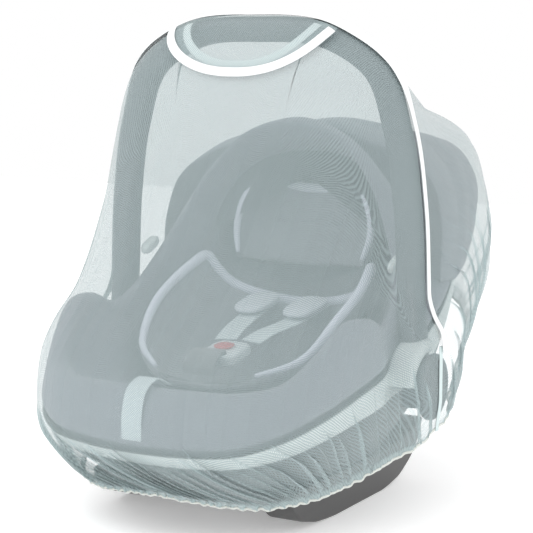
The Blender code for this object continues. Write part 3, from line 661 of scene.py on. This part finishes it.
def makeRearPanel(folds):
    columns = folds["columns"]
    stations = np.linspace(0, 5, folds["rows"])[:, None] + np.zeros((1, columns))
    base = smoothRows(rearGuides(columns), stations)
    place = np.linspace(0, 1, columns)[None, :]
    side = np.abs(2 * place - 1)
    shifted = place + 0.012 * (stations - 3) * np.sign(place - 0.5)
    turns = folds["count"] * shifted + 0.4 * softNoise(shifted * 6, 21)
    start = 3.3 - 1.3 * bump(side, 0.72, 0.22)
    ridges = foldRidges(turns, stations, start, 1.2, 22)
    ends = ease(1 - side, 0.02, 0.08)
    heights = folds["height"] * ridges * ends * (1 - 0.5 * ease(stations, 4.6, 4.95))
    casing = ease(stations, 4.8, 4.93)
    rufflePhase = 2 * math.pi * folds["ruffles"] * place + 5.0 * softNoise(place * 17, 24)
    ruffle = folds["ruffleHeight"] * (0.6 + 0.5 * softNoise(place * 41, 25))
    heights = heights + casing * ends * ruffle * (0.5 + 0.5 * np.sin(rufflePhase))
    lines = softNoise(place * 22 - 0.06 * stations, 26) * ease(stations, 1.2, 2.0)
    heights = heights + 0.0006 * lines * ends * (1 - ease(stations, 3, 4))
    folded, cover = addFolds(base, heights, folds["lean"] * (1 - 0.8 * casing),
                             seatFrame["tentMiddle"])
    folded[..., 2] -= ease(stations, 4.93, 5.0) * ends * 0.0011 * (1 + np.cos(rufflePhase))
    points = toFrame(folded)
    piece = addSurface("netRearPanel", points, netMesh, clothUv=clothMeasure(base),
                       cover=np.clip(cover + 0.25 * casing, 0, 0.96), inside=(0, 0, 0.24))
    area = surfaceArea(points)
    print(f"rear panel made, {area:.3f} square metres")
    return finishPiece(piece, "net_mesh", "net_rear_panel"), area, folded[-1]


frontPanel, frontArea, frontHemLine = makeFrontPanel(frontFolds)
rearPanel, rearArea, rearHemLine = makeRearPanel(rearFolds)


# tape over the crest, and the bindings of the hand hole and its flap
crestTape = {
    "halfAngle": 38.0,      # degrees round the handle, to each side of its top
    "legAngle": 14.0,       # the middle of the narrower band on the legs
    "legHalfAngle": 17.0,
    "thickness": 0.0012,
    "columns": 260,
    "lowest": 0.036,
    "seamHeights": (0.186, 0.0935),
    "seamOut": 0.2209,
    "seamWidth": 0.0075,
    "seamThickness": 0.0014,
    "cordSize": (0.0030, 0.0022),
}


def makeCrestTape(tape):
    # the profile runs out along the outer face and back along the inner one
    turn = np.linspace(0, 2 * math.pi, 28, endpoint=False)
    wide = np.sign(np.cos(turn)) * np.abs(np.cos(turn)) ** 0.55
    thick = np.sign(np.sin(turn)) * np.abs(np.sin(turn)) ** 0.8
    place = np.abs(np.linspace(-1, 1, tape["columns"]))
    onLegs = ease(place, 0.24, 0.5)[:, None]
    lines = []
    for w, t in zip(wide, thick):
        offset = handleBar["tapeOffset"] + t * tape["thickness"] / 2
        overTop = roundTheHandle(tape["columns"], offset, w * tape["halfAngle"],
                                 tape["lowest"], 0.7)
        downLegs = roundTheHandle(tape["columns"], offset,
                                  tape["legAngle"] + w * tape["legHalfAngle"],
                                  tape["lowest"], 0.7)
        lines.append(overTop * (1 - onLegs) + downLegs * onLegs)
    return finishPiece(addLoft("crestTape", toFrame(lines), whiteTape), "white_tape", "crest_tape")


def makeSideSeams(tape):
    # the join of the panels below the crest tape: a narrow tape over the pivot, to the hem
    heights = np.linspace(*tape["seamHeights"], 60)
    # it follows the panels in below the rim, and a little at its top
    drawnIn = 0.0036 * ease(0.130 - heights, 0, 0.034) + 0.0004 * ease(heights, 0.17, 0.19)
    for sign, label in ((-1, "Left"), (1, "Right")):
        line = np.stack((sign * (tape["seamOut"] - drawnIn), 0 * heights, heights), axis=1)
        profile = roundProfile(tape["seamWidth"], tape["seamThickness"], 3.0, 16)
        piece = sweptBar(f"sideSeam{label}", toFrame(line), (0, 1, 0), profile, seamTape)
        finishPiece(piece, "white_tape")


def makeHemElastic(tape):
    # the elastic in its casing: a thin soft cord that follows the ruffled edge of both panels; its
    # grey-brown colour is painted shade on a white-ish cord
    for name, line in (("hemElasticFront", frontHemLine), ("hemElasticRear", rearHemLine)):
        kernel = np.ones(5) / 5
        eased = np.stack([np.convolve(np.pad(axis, 2, mode="edge"), kernel, "valid")
                          for axis in line.T], axis=1)
        piece = sweptBar(name, toFrame(eased), (0, 0, 1),
                         roundProfile(*tape["cordSize"], 2.2, 10), hemCordPaintedShade)
        finishPiece(piece, "white_tape")


def dOutline(shape, count, inset):
    # points x, down round the D from its left end to its right, moved in by the inset
    turn = np.linspace(math.pi, 0, count)
    x = shape["halfWidth"] * np.sign(np.cos(turn)) * np.abs(np.cos(turn)) ** (2 / 2.6)
    line = np.stack((x, dDepth(x, shape)), axis=1)
    along = unit(np.gradient(line, axis=0))
    return line + np.stack((along[:, 1], -along[:, 0]), axis=1) * inset


def makeBinding(name, shape, inset, material, node):
    # a soft folded tape: a flat oval profile carried round the D
    turn = np.linspace(0, 2 * math.pi, 20, endpoint=False)
    wide = np.sign(np.cos(turn)) * np.abs(np.cos(turn)) ** 0.6
    thick = np.sign(np.sin(turn)) * np.abs(np.sin(turn)) ** 0.85
    lines = []
    for w, t in zip(wide, thick):
        x, down = dOutline(shape, 170, inset + w * shape["tapeWidth"] / 2).T
        keep = slice(12, -12)
        down = np.maximum(down[keep], handFlap["top"])
        lift = np.full(down.shape, shape["tapeLift"] + t * 0.0007)
        lines.append(onFrontPanel(x[keep], down, lift))
    return finishPiece(addLoft(name, toFrame(lines), material), "white_tape", node)


def makeHandFlap(flap):
    # the D of net between its top edge and its outline, lifted off the panel
    x = np.linspace(-0.97, 0.97, 150) * flap["halfWidth"]
    deepest = dDepth(x, flap)
    shares = np.linspace(0, 1, 36)
    rows = []
    for share in shares:
        down = flap["top"] + (deepest - flap["top"]) * share
        crease = 0.0005 * softNoise(x * 14 + share * 0.7, 31) * math.sin(math.pi * share)
        rows.append(onFrontPanel(x, down, flap["lift"] + crease))
    points = toFrame(rows)
    cover = np.full(points.shape[:2], netLook["cover"])
    piece = addSurface("handFlap", points, netMesh, clothUv=clothMeasure(points), cover=cover,
                       inside=(0, 0, 0.24))
    return finishPiece(piece, "net_mesh", "hand_flap"), surfaceArea(points)


tape = makeCrestTape(crestTape)
makeSideSeams(crestTape)
makeHemElastic(crestTape)
holeBinding = makeBinding("holeBinding", handHole, -0.0046, paleTape, "hole_binding")
flapBinding = makeBinding("flapBinding", handFlap, 0.0048, whiteTape, "flap_binding")
flap, flapArea = makeHandFlap(handFlap)
print("tapes and flap made")

# rings of the seat, half of each from the foot end to the head end: x, y, z
seatRings = {
    "shellRim": (
        (0.0000, -0.258, 0.099), (0.0560, -0.254, 0.100), (0.1120, -0.240, 0.105),
        (0.1470, -0.212, 0.117), (0.1700, -0.167, 0.133), (0.1840, -0.112, 0.151),
        (0.1860, -0.070, 0.160), (0.1740, -0.025, 0.166), (0.1730, 0.025, 0.171),
        (0.1760, 0.085, 0.198), (0.1660, 0.160, 0.255), (0.1430, 0.225, 0.305),
        (0.0900, 0.268, 0.332), (0.0000, 0.280, 0.338)),
    "shellSide": (
        (0.0000, -0.236, 0.078), (0.0510, -0.232, 0.078), (0.1020, -0.217, 0.080),
        (0.1340, -0.189, 0.086), (0.1540, -0.146, 0.094), (0.1660, -0.096, 0.102),
        (0.1710, -0.056, 0.107), (0.1680, -0.018, 0.110), (0.1670, 0.028, 0.115),
        (0.1650, 0.080, 0.130), (0.1560, 0.145, 0.170), (0.1350, 0.205, 0.225),
        (0.0850, 0.252, 0.262), (0.0000, 0.268, 0.272)),
    "shellFloor": (
        (0.0000, -0.190, 0.052), (0.0400, -0.187, 0.052), (0.0760, -0.175, 0.051),
        (0.1020, -0.150, 0.050), (0.1160, -0.116, 0.050), (0.1230, -0.078, 0.050),
        (0.1260, -0.044, 0.050), (0.1270, -0.012, 0.050), (0.1270, 0.026, 0.052),
        (0.1240, 0.068, 0.060), (0.1150, 0.112, 0.080), (0.0980, 0.158, 0.120),
        (0.0600, 0.196, 0.155), (0.0000, 0.210, 0.170)),
    "padRidge": (
        (0.0000, -0.238, 0.163), (0.0520, -0.235, 0.163), (0.1020, -0.221, 0.163),
        (0.1340, -0.196, 0.170), (0.1580, -0.160, 0.200), (0.1700, -0.122, 0.228),
        (0.1740, -0.085, 0.226), (0.1700, -0.046, 0.209), (0.1690, -0.010, 0.224),
        (0.1600, 0.018, 0.253), (0.1380, 0.038, 0.300), (0.1020, 0.053, 0.362),
        (0.0560, 0.062, 0.405), (0.0000, 0.065, 0.416)),
    "padBowl": (
        (0.0000, -0.182, 0.132), (0.0380, -0.180, 0.132), (0.0740, -0.166, 0.132),
        (0.0960, -0.142, 0.134), (0.1080, -0.110, 0.138), (0.1140, -0.076, 0.142),
        (0.1170, -0.040, 0.148), (0.1180, -0.004, 0.160), (0.1180, 0.034, 0.184),
        (0.1160, 0.072, 0.216), (0.1120, 0.106, 0.256), (0.1000, 0.134, 0.308),
        (0.0600, 0.155, 0.348), (0.0000, 0.161, 0.362)),
    "padShoulder": (
        (0.0000, -0.258, 0.132), (0.0560, -0.254, 0.132), (0.1120, -0.239, 0.136),
        (0.1470, -0.211, 0.145), (0.1700, -0.167, 0.166), (0.1815, -0.118, 0.190),
        (0.1820, -0.078, 0.195), (0.1735, -0.034, 0.190), (0.1720, 0.004, 0.200),
        (0.1660, 0.040, 0.230), (0.1500, 0.078, 0.280), (0.1180, 0.104, 0.335),
        (0.0700, 0.118, 0.376), (0.0000, 0.126, 0.404)),
    "padFloor": (
        (0.0000, -0.150, 0.116), (0.0300, -0.148, 0.116), (0.0580, -0.138, 0.116),
        (0.0760, -0.120, 0.117), (0.0860, -0.095, 0.118), (0.0920, -0.066, 0.120),
        (0.0950, -0.034, 0.123), (0.0960, -0.002, 0.128), (0.0960, 0.030, 0.136),
        (0.0930, 0.062, 0.148), (0.0840, 0.092, 0.164), (0.0680, 0.114, 0.180),
        (0.0380, 0.128, 0.192), (0.0000, 0.132, 0.196)),
}


def movedIn(ring, distance, rise=0.0):
    # a ring moved towards its inside in plan, and up
    along = np.roll(ring, -1, axis=0) - np.roll(ring, 1, axis=0)
    inward = unit(np.stack((-along[:, 1], along[:, 0], 0 * along[:, 0]), axis=1))
    return ring + inward * distance + (0, 0, rise)


def shellLines():
    return [roundSeat(seatRings[key]) for key in ("shellRim", "shellSide", "shellFloor")]


def makeShell():
    rim, side, floor = shellLines()
    rows = smoothRows(np.stack((rim, side, floor)), np.linspace(0, 2, 25)[:, None])
    # the lip: the wall turns inwards over its top edge, 4 mm thick all round
    inner = np.stack([movedIn(row, 0.004, 0.0) for row in rows[:6]])
    points = np.concatenate((rows[::-1], movedIn(rim, 0.0012, 0.0012)[None],
                             movedIn(rim, 0.0028, 0.0012)[None], inner))
    bottom = toFrame((0.0, -0.010, 0.051))
    under = addSurface("seatShell", toFrame(points), shellPlastic, closedColumns=True,
                       caps=(bottom, toFrame((0.0, -0.010, 0.090))))
    finishPiece(under, "dark_plastic", "seat_shell")


def makeRimTrim():
    # a light band on the outside of the shell's rim, rounded at both edges
    shares = np.linspace(0.0, 0.62, 9)
    outer = smoothRows(np.stack(shellLines()), shares[:, None])
    swell = 0.0016 + 0.0011 * np.sin(np.linspace(0, math.pi, len(shares)))
    front = [movedIn(row, -s, -0.0005) for row, s in zip(outer, swell)]
    back = [movedIn(row, -0.0004, -0.0005) for row in outer[::-1]]
    points = np.asarray(front + back)
    loops = toFrame(points).transpose(1, 0, 2)
    loops = np.concatenate((loops, loops[:1]))
    piece = addSurface("rimTrim", loops, rimPlastic, closedColumns=True)
    finishPiece(piece, "light_plastic", "rim_trim")


def makePad():
    rim, side, floor = shellLines()
    ridge, bowl = roundSeat(seatRings["padRidge"]), roundSeat(seatRings["padBowl"])
    shoulder = roundSeat(seatRings["padShoulder"])
    guides = np.stack([
        movedIn(floor, 0.022, 0.018), movedIn(side, 0.014, 0.006), movedIn(rim, 0.010, 0.000),
        movedIn(rim, 0.007, 0.005), movedIn(rim, 0.001, 0.008), shoulder,
        ridge * 0.75 + shoulder * 0.25 + (0, 0, 0.006), ridge * 0.94 + bowl * 0.06 + (0, 0, 0.002),
        ridge * 0.72 + bowl * 0.28 - (0, 0, 0.006), ridge * 0.35 + bowl * 0.65 - (0, 0, 0.004),
        bowl, roundSeat(seatRings["padFloor"])])
    points = smoothRows(guides, np.linspace(0, len(guides) - 1, 78)[:, None])
    caps = (toFrame((0.0, -0.02, 0.072)), toFrame((0.0, -0.020, 0.104)))
    piece = addSurface("seatPad", toFrame(points), padCloth, closedColumns=True, caps=caps)
    finishPiece(piece, "seat_fabric", "seat_pad")


makeShell()
makeRimTrim()
makePad()
print("shell and pad made")


# the carry handle and its pivots
def makeHandle():
    # an oval bar along the handle's line, a little flattened inside, with blended ends
    line = handleLine(160)
    drop = np.array((0, 0, 0.022))
    line = np.concatenate(((line[0] - drop)[None], (line[0] - drop * 0.5)[None], line,
                           (line[-1] - drop * 0.5)[None], (line[-1] - drop)[None]))
    profile = roundProfile(2 * handleBar["radius"] * handleBar["widening"],
                           2 * handleBar["radius"], 2.5, 32)
    piece = sweptBar("carryHandle", toFrame(line), (0, 1, 0), profile, handlePlastic)
    finishPiece(piece, "handle_plastic", "carry_handle")


pivotDisc = {"radius": 0.036, "thickness": 0.008, "rounding": 0.003}


def makeDiscs(disc):
    # turned discs with a ring groove and a slightly raised middle
    start = handleBar["halfWidths"][0] + handleBar["radius"] + 0.0003
    r, t, b = disc["radius"], disc["thickness"], disc["rounding"]
    corner = np.linspace(0, math.pi / 2, 7)
    rim = [(r - b + b * math.sin(a), t - b + b * math.cos(a)) for a in corner[::-1]]
    profile = ([(0.004, 0.0), (r - b, 0.0), (r, b)] + rim
               + [(r * 0.80, t), (r * 0.785, t - 0.0009), (r * 0.755, t - 0.0009), (r * 0.74, t),
                  (r * 0.45, t + 0.0003), (0.002, t + 0.0004)])
    for sign, label in ((-1, "Left"), (1, "Right")):
        centre = toFrame((sign * start, 0.0, seatFrame["pivotHeight"]))
        piece = turned(f"pivotDisc{label}", profile, centre, (sign, 0, 0), discPlastic)
        finishPiece(piece, "dark_plastic", f"pivot_disc_{label.lower()}")


makeHandle()
makeDiscs(pivotDisc)

# the folded hood behind the handle
hoodShape = {
    "front": ((0.184, 0.078, 0.242), (0.183, 0.085, 0.300), (0.170, 0.095, 0.345),
              (0.138, 0.108, 0.372), (0.070, 0.122, 0.392), (0.0, 0.142, 0.410)),
    "crest": ((0.180, 0.130, 0.240), (0.179, 0.150, 0.300), (0.165, 0.168, 0.350),
              (0.136, 0.185, 0.384), (0.070, 0.195, 0.400), (0.0, 0.198, 0.410)),
    "rear": ((0.170, 0.178, 0.252), (0.166, 0.215, 0.300), (0.152, 0.248, 0.345),
             (0.126, 0.262, 0.372), (0.066, 0.268, 0.386), (0.0, 0.270, 0.390)),
    "thickness": 0.006,
    "pleats": 3,
}


def makeHood(hood):
    # a band of cloth over the head end, with soft pleats along it
    guides = np.stack([acrossSeat(hood[key], 180) for key in ("front", "crest", "rear")])
    shares = np.linspace(0, 2, 60)
    middle = smoothRows(guides, shares[:, None])
    normals, _ = gridNormals(middle, (0, 0.15, 0.2))
    pleat = np.abs(np.sin(math.pi * hood["pleats"] * shares / 2))[:, None]
    fade = np.sin(np.linspace(0, math.pi, 180))[None, :] ** 0.3
    middle = middle + normals * (0.0035 * (pleat - 0.6) * fade)[..., None]
    piece = addPad("foldedHood", toFrame(middle), hood["thickness"], hoodCloth,
                   toFrame((0, 0.15, 0.2)), edge=14.0)
    finishPiece(piece, "seat_fabric", "folded_hood")


makeHood(hoodShape)
print("handle and hood made")

# rocker rails and crossbars
rockerBase = {
    "outline": ((-0.156, 0.0475), (-0.152, 0.0300), (-0.134, 0.0130), (-0.098, 0.0035),
                (-0.060, 0.0000), (0.065, 0.0000), (0.103, 0.0065), (0.136, 0.0230),
                (0.158, 0.0450), (0.166, 0.0660), (0.150, 0.0640), (0.110, 0.0540),
                (0.070, 0.0475)),
    "centre": 0.105,
    "width": 0.040,
    "rounding": 0.003,
}


def makeRails(base):
    # the side outline as a stack of rings: full in the middle, drawn in at the rounded edges
    outline = np.asarray(base["outline"])
    dense = np.concatenate([np.linspace(outline[k], outline[(k + 1) % len(outline)], 8)[:-1]
                            for k in range(len(outline))])
    kernel = np.array((1, 2, 3, 2, 1)) / 9
    low = dense[:, 1] < 0.0005
    smooth = np.stack([np.convolve(np.r_[axis[-2:], axis, axis[:2]], kernel, "valid")
                       for axis in dense.T], axis=1)
    smooth[low, 1] = 0.0
    smooth[:, 1] = np.maximum(smooth[:, 1], 0.0)
    along = unit(np.roll(smooth, -1, axis=0) - np.roll(smooth, 1, axis=0))
    inward = np.stack((-along[:, 1], along[:, 0]), axis=1)
    corner = np.linspace(0, math.pi / 2, 6)
    b, half = base["rounding"], base["width"] / 2
    layers = [(-half + b - b * math.cos(a), b - b * math.sin(a)) for a in corner]
    layers += [(-x, inset) for x, inset in layers[::-1]]
    for sign, label in ((-1, "Left"), (1, "Right")):
        rings = []
        for x, inset in layers:
            ring = smooth + inward * inset
            rings.append(np.stack((np.full(len(ring), sign * base["centre"] + x),
                                   ring[:, 0], ring[:, 1]), axis=1))
        points = toFrame(rings)
        middle = points.mean(axis=1)
        piece = addSurface(f"rockerRail{label}", points, basePlastic, closedColumns=True,
                           caps=(middle[0], middle[-1]))
        finishPiece(piece, "dark_plastic", f"rocker_rail_{label.lower()}")


makeRails(rockerBase)
for bar in ("rocker_crossbar_front", "rocker_crossbar_rear"):
    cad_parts[bar].data.materials.clear()
    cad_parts[bar].data.materials.append(basePlastic)
print("base made")

# the newborn inlay, its rolls and piping, and the head support
inlayShape = {
    "rows": (
        ((0.060, -0.128, 0.154), (0.045, -0.136, 0.149), (0.022, -0.142, 0.147),
         (0.0, -0.144, 0.147)),
        ((0.104, -0.092, 0.172), (0.078, -0.090, 0.146), (0.040, -0.088, 0.136),
         (0.0, -0.088, 0.134)),
        ((0.120, -0.045, 0.208), (0.092, -0.036, 0.162), (0.045, -0.026, 0.136),
         (0.0, -0.024, 0.132)),
        ((0.122, 0.012, 0.236), (0.096, 0.030, 0.190), (0.048, 0.042, 0.166), (0.0, 0.046, 0.162)),
        ((0.112, 0.060, 0.258), (0.090, 0.082, 0.222), (0.046, 0.096, 0.206),
         (0.0, 0.100, 0.201))),
    "headRows": (
        ((0.084, 0.085, 0.252), (0.074, 0.100, 0.246), (0.038, 0.112, 0.244), (0.0, 0.116, 0.243)),
        ((0.092, 0.096, 0.288), (0.080, 0.114, 0.280), (0.040, 0.128, 0.274), (0.0, 0.133, 0.272)),
        ((0.084, 0.102, 0.322), (0.074, 0.122, 0.312), (0.038, 0.136, 0.304), (0.0, 0.141, 0.302)),
        ((0.056, 0.114, 0.350), (0.050, 0.126, 0.344), (0.026, 0.136, 0.336),
         (0.0, 0.139, 0.334))),
    "thickness": 0.012,
    "rollRadius": 0.0062,
}


def makeInlay(inlay):
    seatMiddle = toFrame((0, -0.02, 0.4))
    for name, key, node, countDown in (("newbornInlay", "rows", "newborn_inlay", 90),
                                       ("headSupport", "headRows", "head_support", 60)):
        guides = np.stack([acrossSeat(half, 110) for half in inlay[key]])
        middle = toFrame(smoothRows(guides, np.linspace(0, len(guides) - 1, countDown)[:, None]))
        u = np.linspace(-1, 1, 110)[None, :]
        v = np.linspace(0, 1, countDown)[:, None]
        # sewn channels: a shallow valley down each side and one across
        valley = 0.45 * bump(np.abs(u), 0.62, 0.05) + 0.35 * bump(v + 0.10 * u**2, 0.52, 0.04)
        piece = addPad(name, middle, inlay["thickness"], inlayCloth, seatMiddle, edge=7.0,
                       channels=1 - valley)
        finishPiece(piece, "inlay_fabric", node)
        edgeLine = np.concatenate((middle[1:-1, 1], middle[-2, 2:-2], middle[-2:0:-1, -2]))
        kernel = np.ones(7) / 7
        rounded = np.stack([np.convolve(np.pad(axis, 3, mode="edge"), kernel, "valid")
                            for axis in edgeLine.T], axis=1)
        rolled = rounded + unit(seatMiddle - rounded) * 0.004
        size = np.sin(np.linspace(0.08, math.pi - 0.08, len(rolled))) ** 0.35
        roll = sweptBar(f"{name}Roll", rolled[::2], (1, 0, 0.3),
                        roundProfile(2 * inlay["rollRadius"], 2 * inlay["rollRadius"], 2.2, 14),
                        rollCloth, size[::2])
        finishPiece(roll, "pale_padding")


makeInlay(inlayShape)

# harness
harness = {
    "strap": ((0.0340, 0.080, 0.206), (0.0320, 0.050, 0.199), (0.0280, 0.010, 0.192),
              (0.0200, -0.030, 0.186), (0.0160, -0.052, 0.180)),
    "strapWidth": 0.026,
    "padMiddle": (0.032, 0.044, 0.2065),
    "padSize": (0.040, 0.062, 0.010),
    "crotch": ((0.0, -0.134, 0.157), (0.0, -0.132, 0.167), (0.0, -0.123, 0.176),
               (0.0, -0.109, 0.178)),
    "buckle": (0.0, -0.080, 0.170),
    "tilt": 10.0,
    "crotchProfile": (0.040, 0.0065),
    "buckleSize": (0.046, 0.052, 0.016),
    "buttonSize": (0.023, 0.020, 0.0040),
    "frontStrapProfile": (0.024, 0.0020),
    "frontStrap": ((0.0, -0.205, 0.160), (0.0, -0.230, 0.170), (0.0, -0.250, 0.162),
                   (0.0, -0.2598, 0.136), (0.0, -0.2600, 0.112)),
}


def roundedBlock(name, size, middle, tilt, material, power=3.4, rows=28, columns=48):
    # a superellipsoid: rings of a superellipse that shrink to both ends, tilted about x
    v = np.linspace(-1, 1, rows + 2)[1:-1]
    shrink = (1 - np.abs(v) ** power) ** (1 / power)
    ring = roundProfile(size[0], size[1], power, columns)
    points = np.empty((rows, columns, 3))
    points[..., :2] = ring[None] * shrink[:, None, None]
    points[..., 2] = (v * size[2] / 2)[:, None]
    turn = math.radians(tilt)
    cosine, sine = math.cos(turn), math.sin(turn)
    matrix = np.array(((1, 0, 0), (0, cosine, -sine), (0, sine, cosine)))
    points = points @ matrix.T + toFrame(middle)
    caps = (points[0].mean(axis=0), points[-1].mean(axis=0))
    return addSurface(name, points, material, closedColumns=True, caps=caps)


def makeHarness(parts):
    for sign, label in ((-1, "Left"), (1, "Right")):
        line = toFrame(evenLine([(sign * x, y, z) for x, y, z in parts["strap"]], 60))
        strap = sweptBar(f"shoulderStrap{label}", line, (1, 0, 0),
                         roundProfile(parts["strapWidth"], 0.0022, 5.0, 24), paleWebbing)
        finishPiece(strap, "pale_webbing", f"shoulder_strap_{label.lower()}")
        x, y, z = parts["padMiddle"]
        pad = roundedBlock(f"shoulderPad{label}", parts["padSize"], (sign * x, y, z), 11,
                           palePadding, 3.0)
        finishPiece(pad, "pale_padding", f"shoulder_pad_{label.lower()}")
    line = toFrame(evenLine(parts["crotch"], 40))
    crotch = sweptBar("crotchPad", line, (1, 0, 0),
                      roundProfile(*parts["crotchProfile"], 4.0, 28), crotchCloth)
    finishPiece(crotch, "pale_padding", "crotch_pad")
    body = roundedBlock("buckle", parts["buckleSize"], parts["buckle"], parts["tilt"],
                        bucklePlastic, 4.0)
    finishPiece(body, "pale_webbing", "buckle")
    turn = math.radians(parts["tilt"])
    x, y, z = parts["buckle"]
    lift = parts["buckleSize"][2] / 2 + 0.0015
    top = (x, y - math.sin(turn) * lift, z + math.cos(turn) * lift)
    button = roundedBlock("releaseButton", parts["buttonSize"], top, parts["tilt"],
                          redPlastic, 2.2)
    finishPiece(button, "red_button", "release_button")
    line = toFrame(evenLine(parts["frontStrap"], 60))
    strap = sweptBar("frontStrap", line, (1, 0, 0),
                     roundProfile(*parts["frontStrapProfile"], 5.0, 24), paleWebbing)
    finishPiece(strap, "pale_webbing", "front_strap")


makeHarness(harness)
sideFittings = {
    "guide": (0.160, 0.014, 0.2690),
    "guideSize": (0.012, 0.030, 0.012),
    "guideTilt": 25,
    "collarRadii": (0.0365, 0.0515),
    "collarAngles": (84.0, 172.0),
    "collarInside": 0.1790,
    "collarThickness": 0.0295,
}


def makeCollar(sign, label, fittings):
    # a light collar beside the pivot disc: a rounded bar section carried along an arc
    turn = np.radians(np.linspace(*fittings["collarAngles"], 40))
    low, high = fittings["collarRadii"]
    middle = (low + high) / 2
    thickness = fittings["collarThickness"]
    x = sign * (fittings["collarInside"] + thickness / 2)
    path = np.stack((np.full(len(turn), x), middle * np.cos(turn),
                     seatFrame["pivotHeight"] + middle * np.sin(turn)), axis=1)
    piece = sweptBar(f"hubCover{label}", toFrame(path), (1, 0, 0),
                     roundProfile(thickness, high - low, 5.0, 28), rimPlastic)
    finishPiece(piece, "light_plastic", f"hub_cover_{label.lower()}")


for sign, label in ((-1, "Left"), (1, "Right")):
    x, y, z = sideFittings["guide"]
    guide = roundedBlock(f"beltGuide{label}", sideFittings["guideSize"], (sign * x, y, z),
                         sideFittings["guideTilt"], rimPlastic)
    finishPiece(guide, "light_plastic", f"belt_guide_{label.lower()}")
    makeCollar(sign, label, sideFittings)
print("inlay, harness and fittings made")

# floor, light and camera
studio = {
    "floorSize": 6.0,
    "worldStrength": 1.0,
    "keyPower": 22.0,
    "fillPower": 8.0,
    "cameraPlace": (0.9388, -1.6155, 0.5217),
    "cameraTarget": (0.0, 0.0106, 0.2548),
    "lens": 113.47,
}


def makeStudio(values):
    half = values["floorSize"] / 2
    line = np.linspace(-half, half, 2)
    x, y = np.meshgrid(line, line)
    points = np.stack((x, y, 0 * x), axis=-1)
    floor = addSurface("studioFloor", points, floorPaint, inside=(0, 0, -1))
    world = bpy.data.worlds.new("studioWorld")
    world.use_nodes = True
    background = world.node_tree.nodes["Background"]
    background.inputs["Color"].default_value = (1, 1, 1, 1)
    background.inputs["Strength"].default_value = values["worldStrength"]
    bpy.context.scene.world = world
    bpy.context.scene.view_settings.view_transform = "Standard"  # white paper stays white
    for name, place, power, size in (
            ("keyLight", (-1.2, -1.6, 2.2), values["keyPower"], 1.6),
            ("fillLight", (1.9, -0.6, 1.4), values["fillPower"], 1.8)):
        lamp = bpy.data.lights.new(name, "AREA")
        lamp.energy = power
        lamp.size = size
        holder = bpy.data.objects.new(name, lamp)
        bpy.context.scene.collection.objects.link(holder)
        aimAt(holder, place, (0, 0, 0.25))


def aimAt(holder, place, target):
    place, target = np.asarray(place, float), np.asarray(target, float)
    back = unit(place - target)
    right = unit(np.cross((0, 0, 1), back))
    up = np.cross(back, right)
    rows = np.vstack((np.stack((right, up, back, place), axis=1), (0, 0, 0, 1)))
    holder.matrix_world = Matrix(rows.tolist())


def makeCamera(values):
    seen = bpy.data.cameras.new("studioCamera")
    seen.lens = values["lens"]
    seen.sensor_width = 36
    holder = bpy.data.objects.new("studioCamera", seen)
    bpy.context.scene.collection.objects.link(holder)
    aimAt(holder, toFrame(values["cameraPlace"]), toFrame(values["cameraTarget"]))
    bpy.context.scene.camera = holder


makeStudio(studio)
makeCamera(studio)
print("studio made")
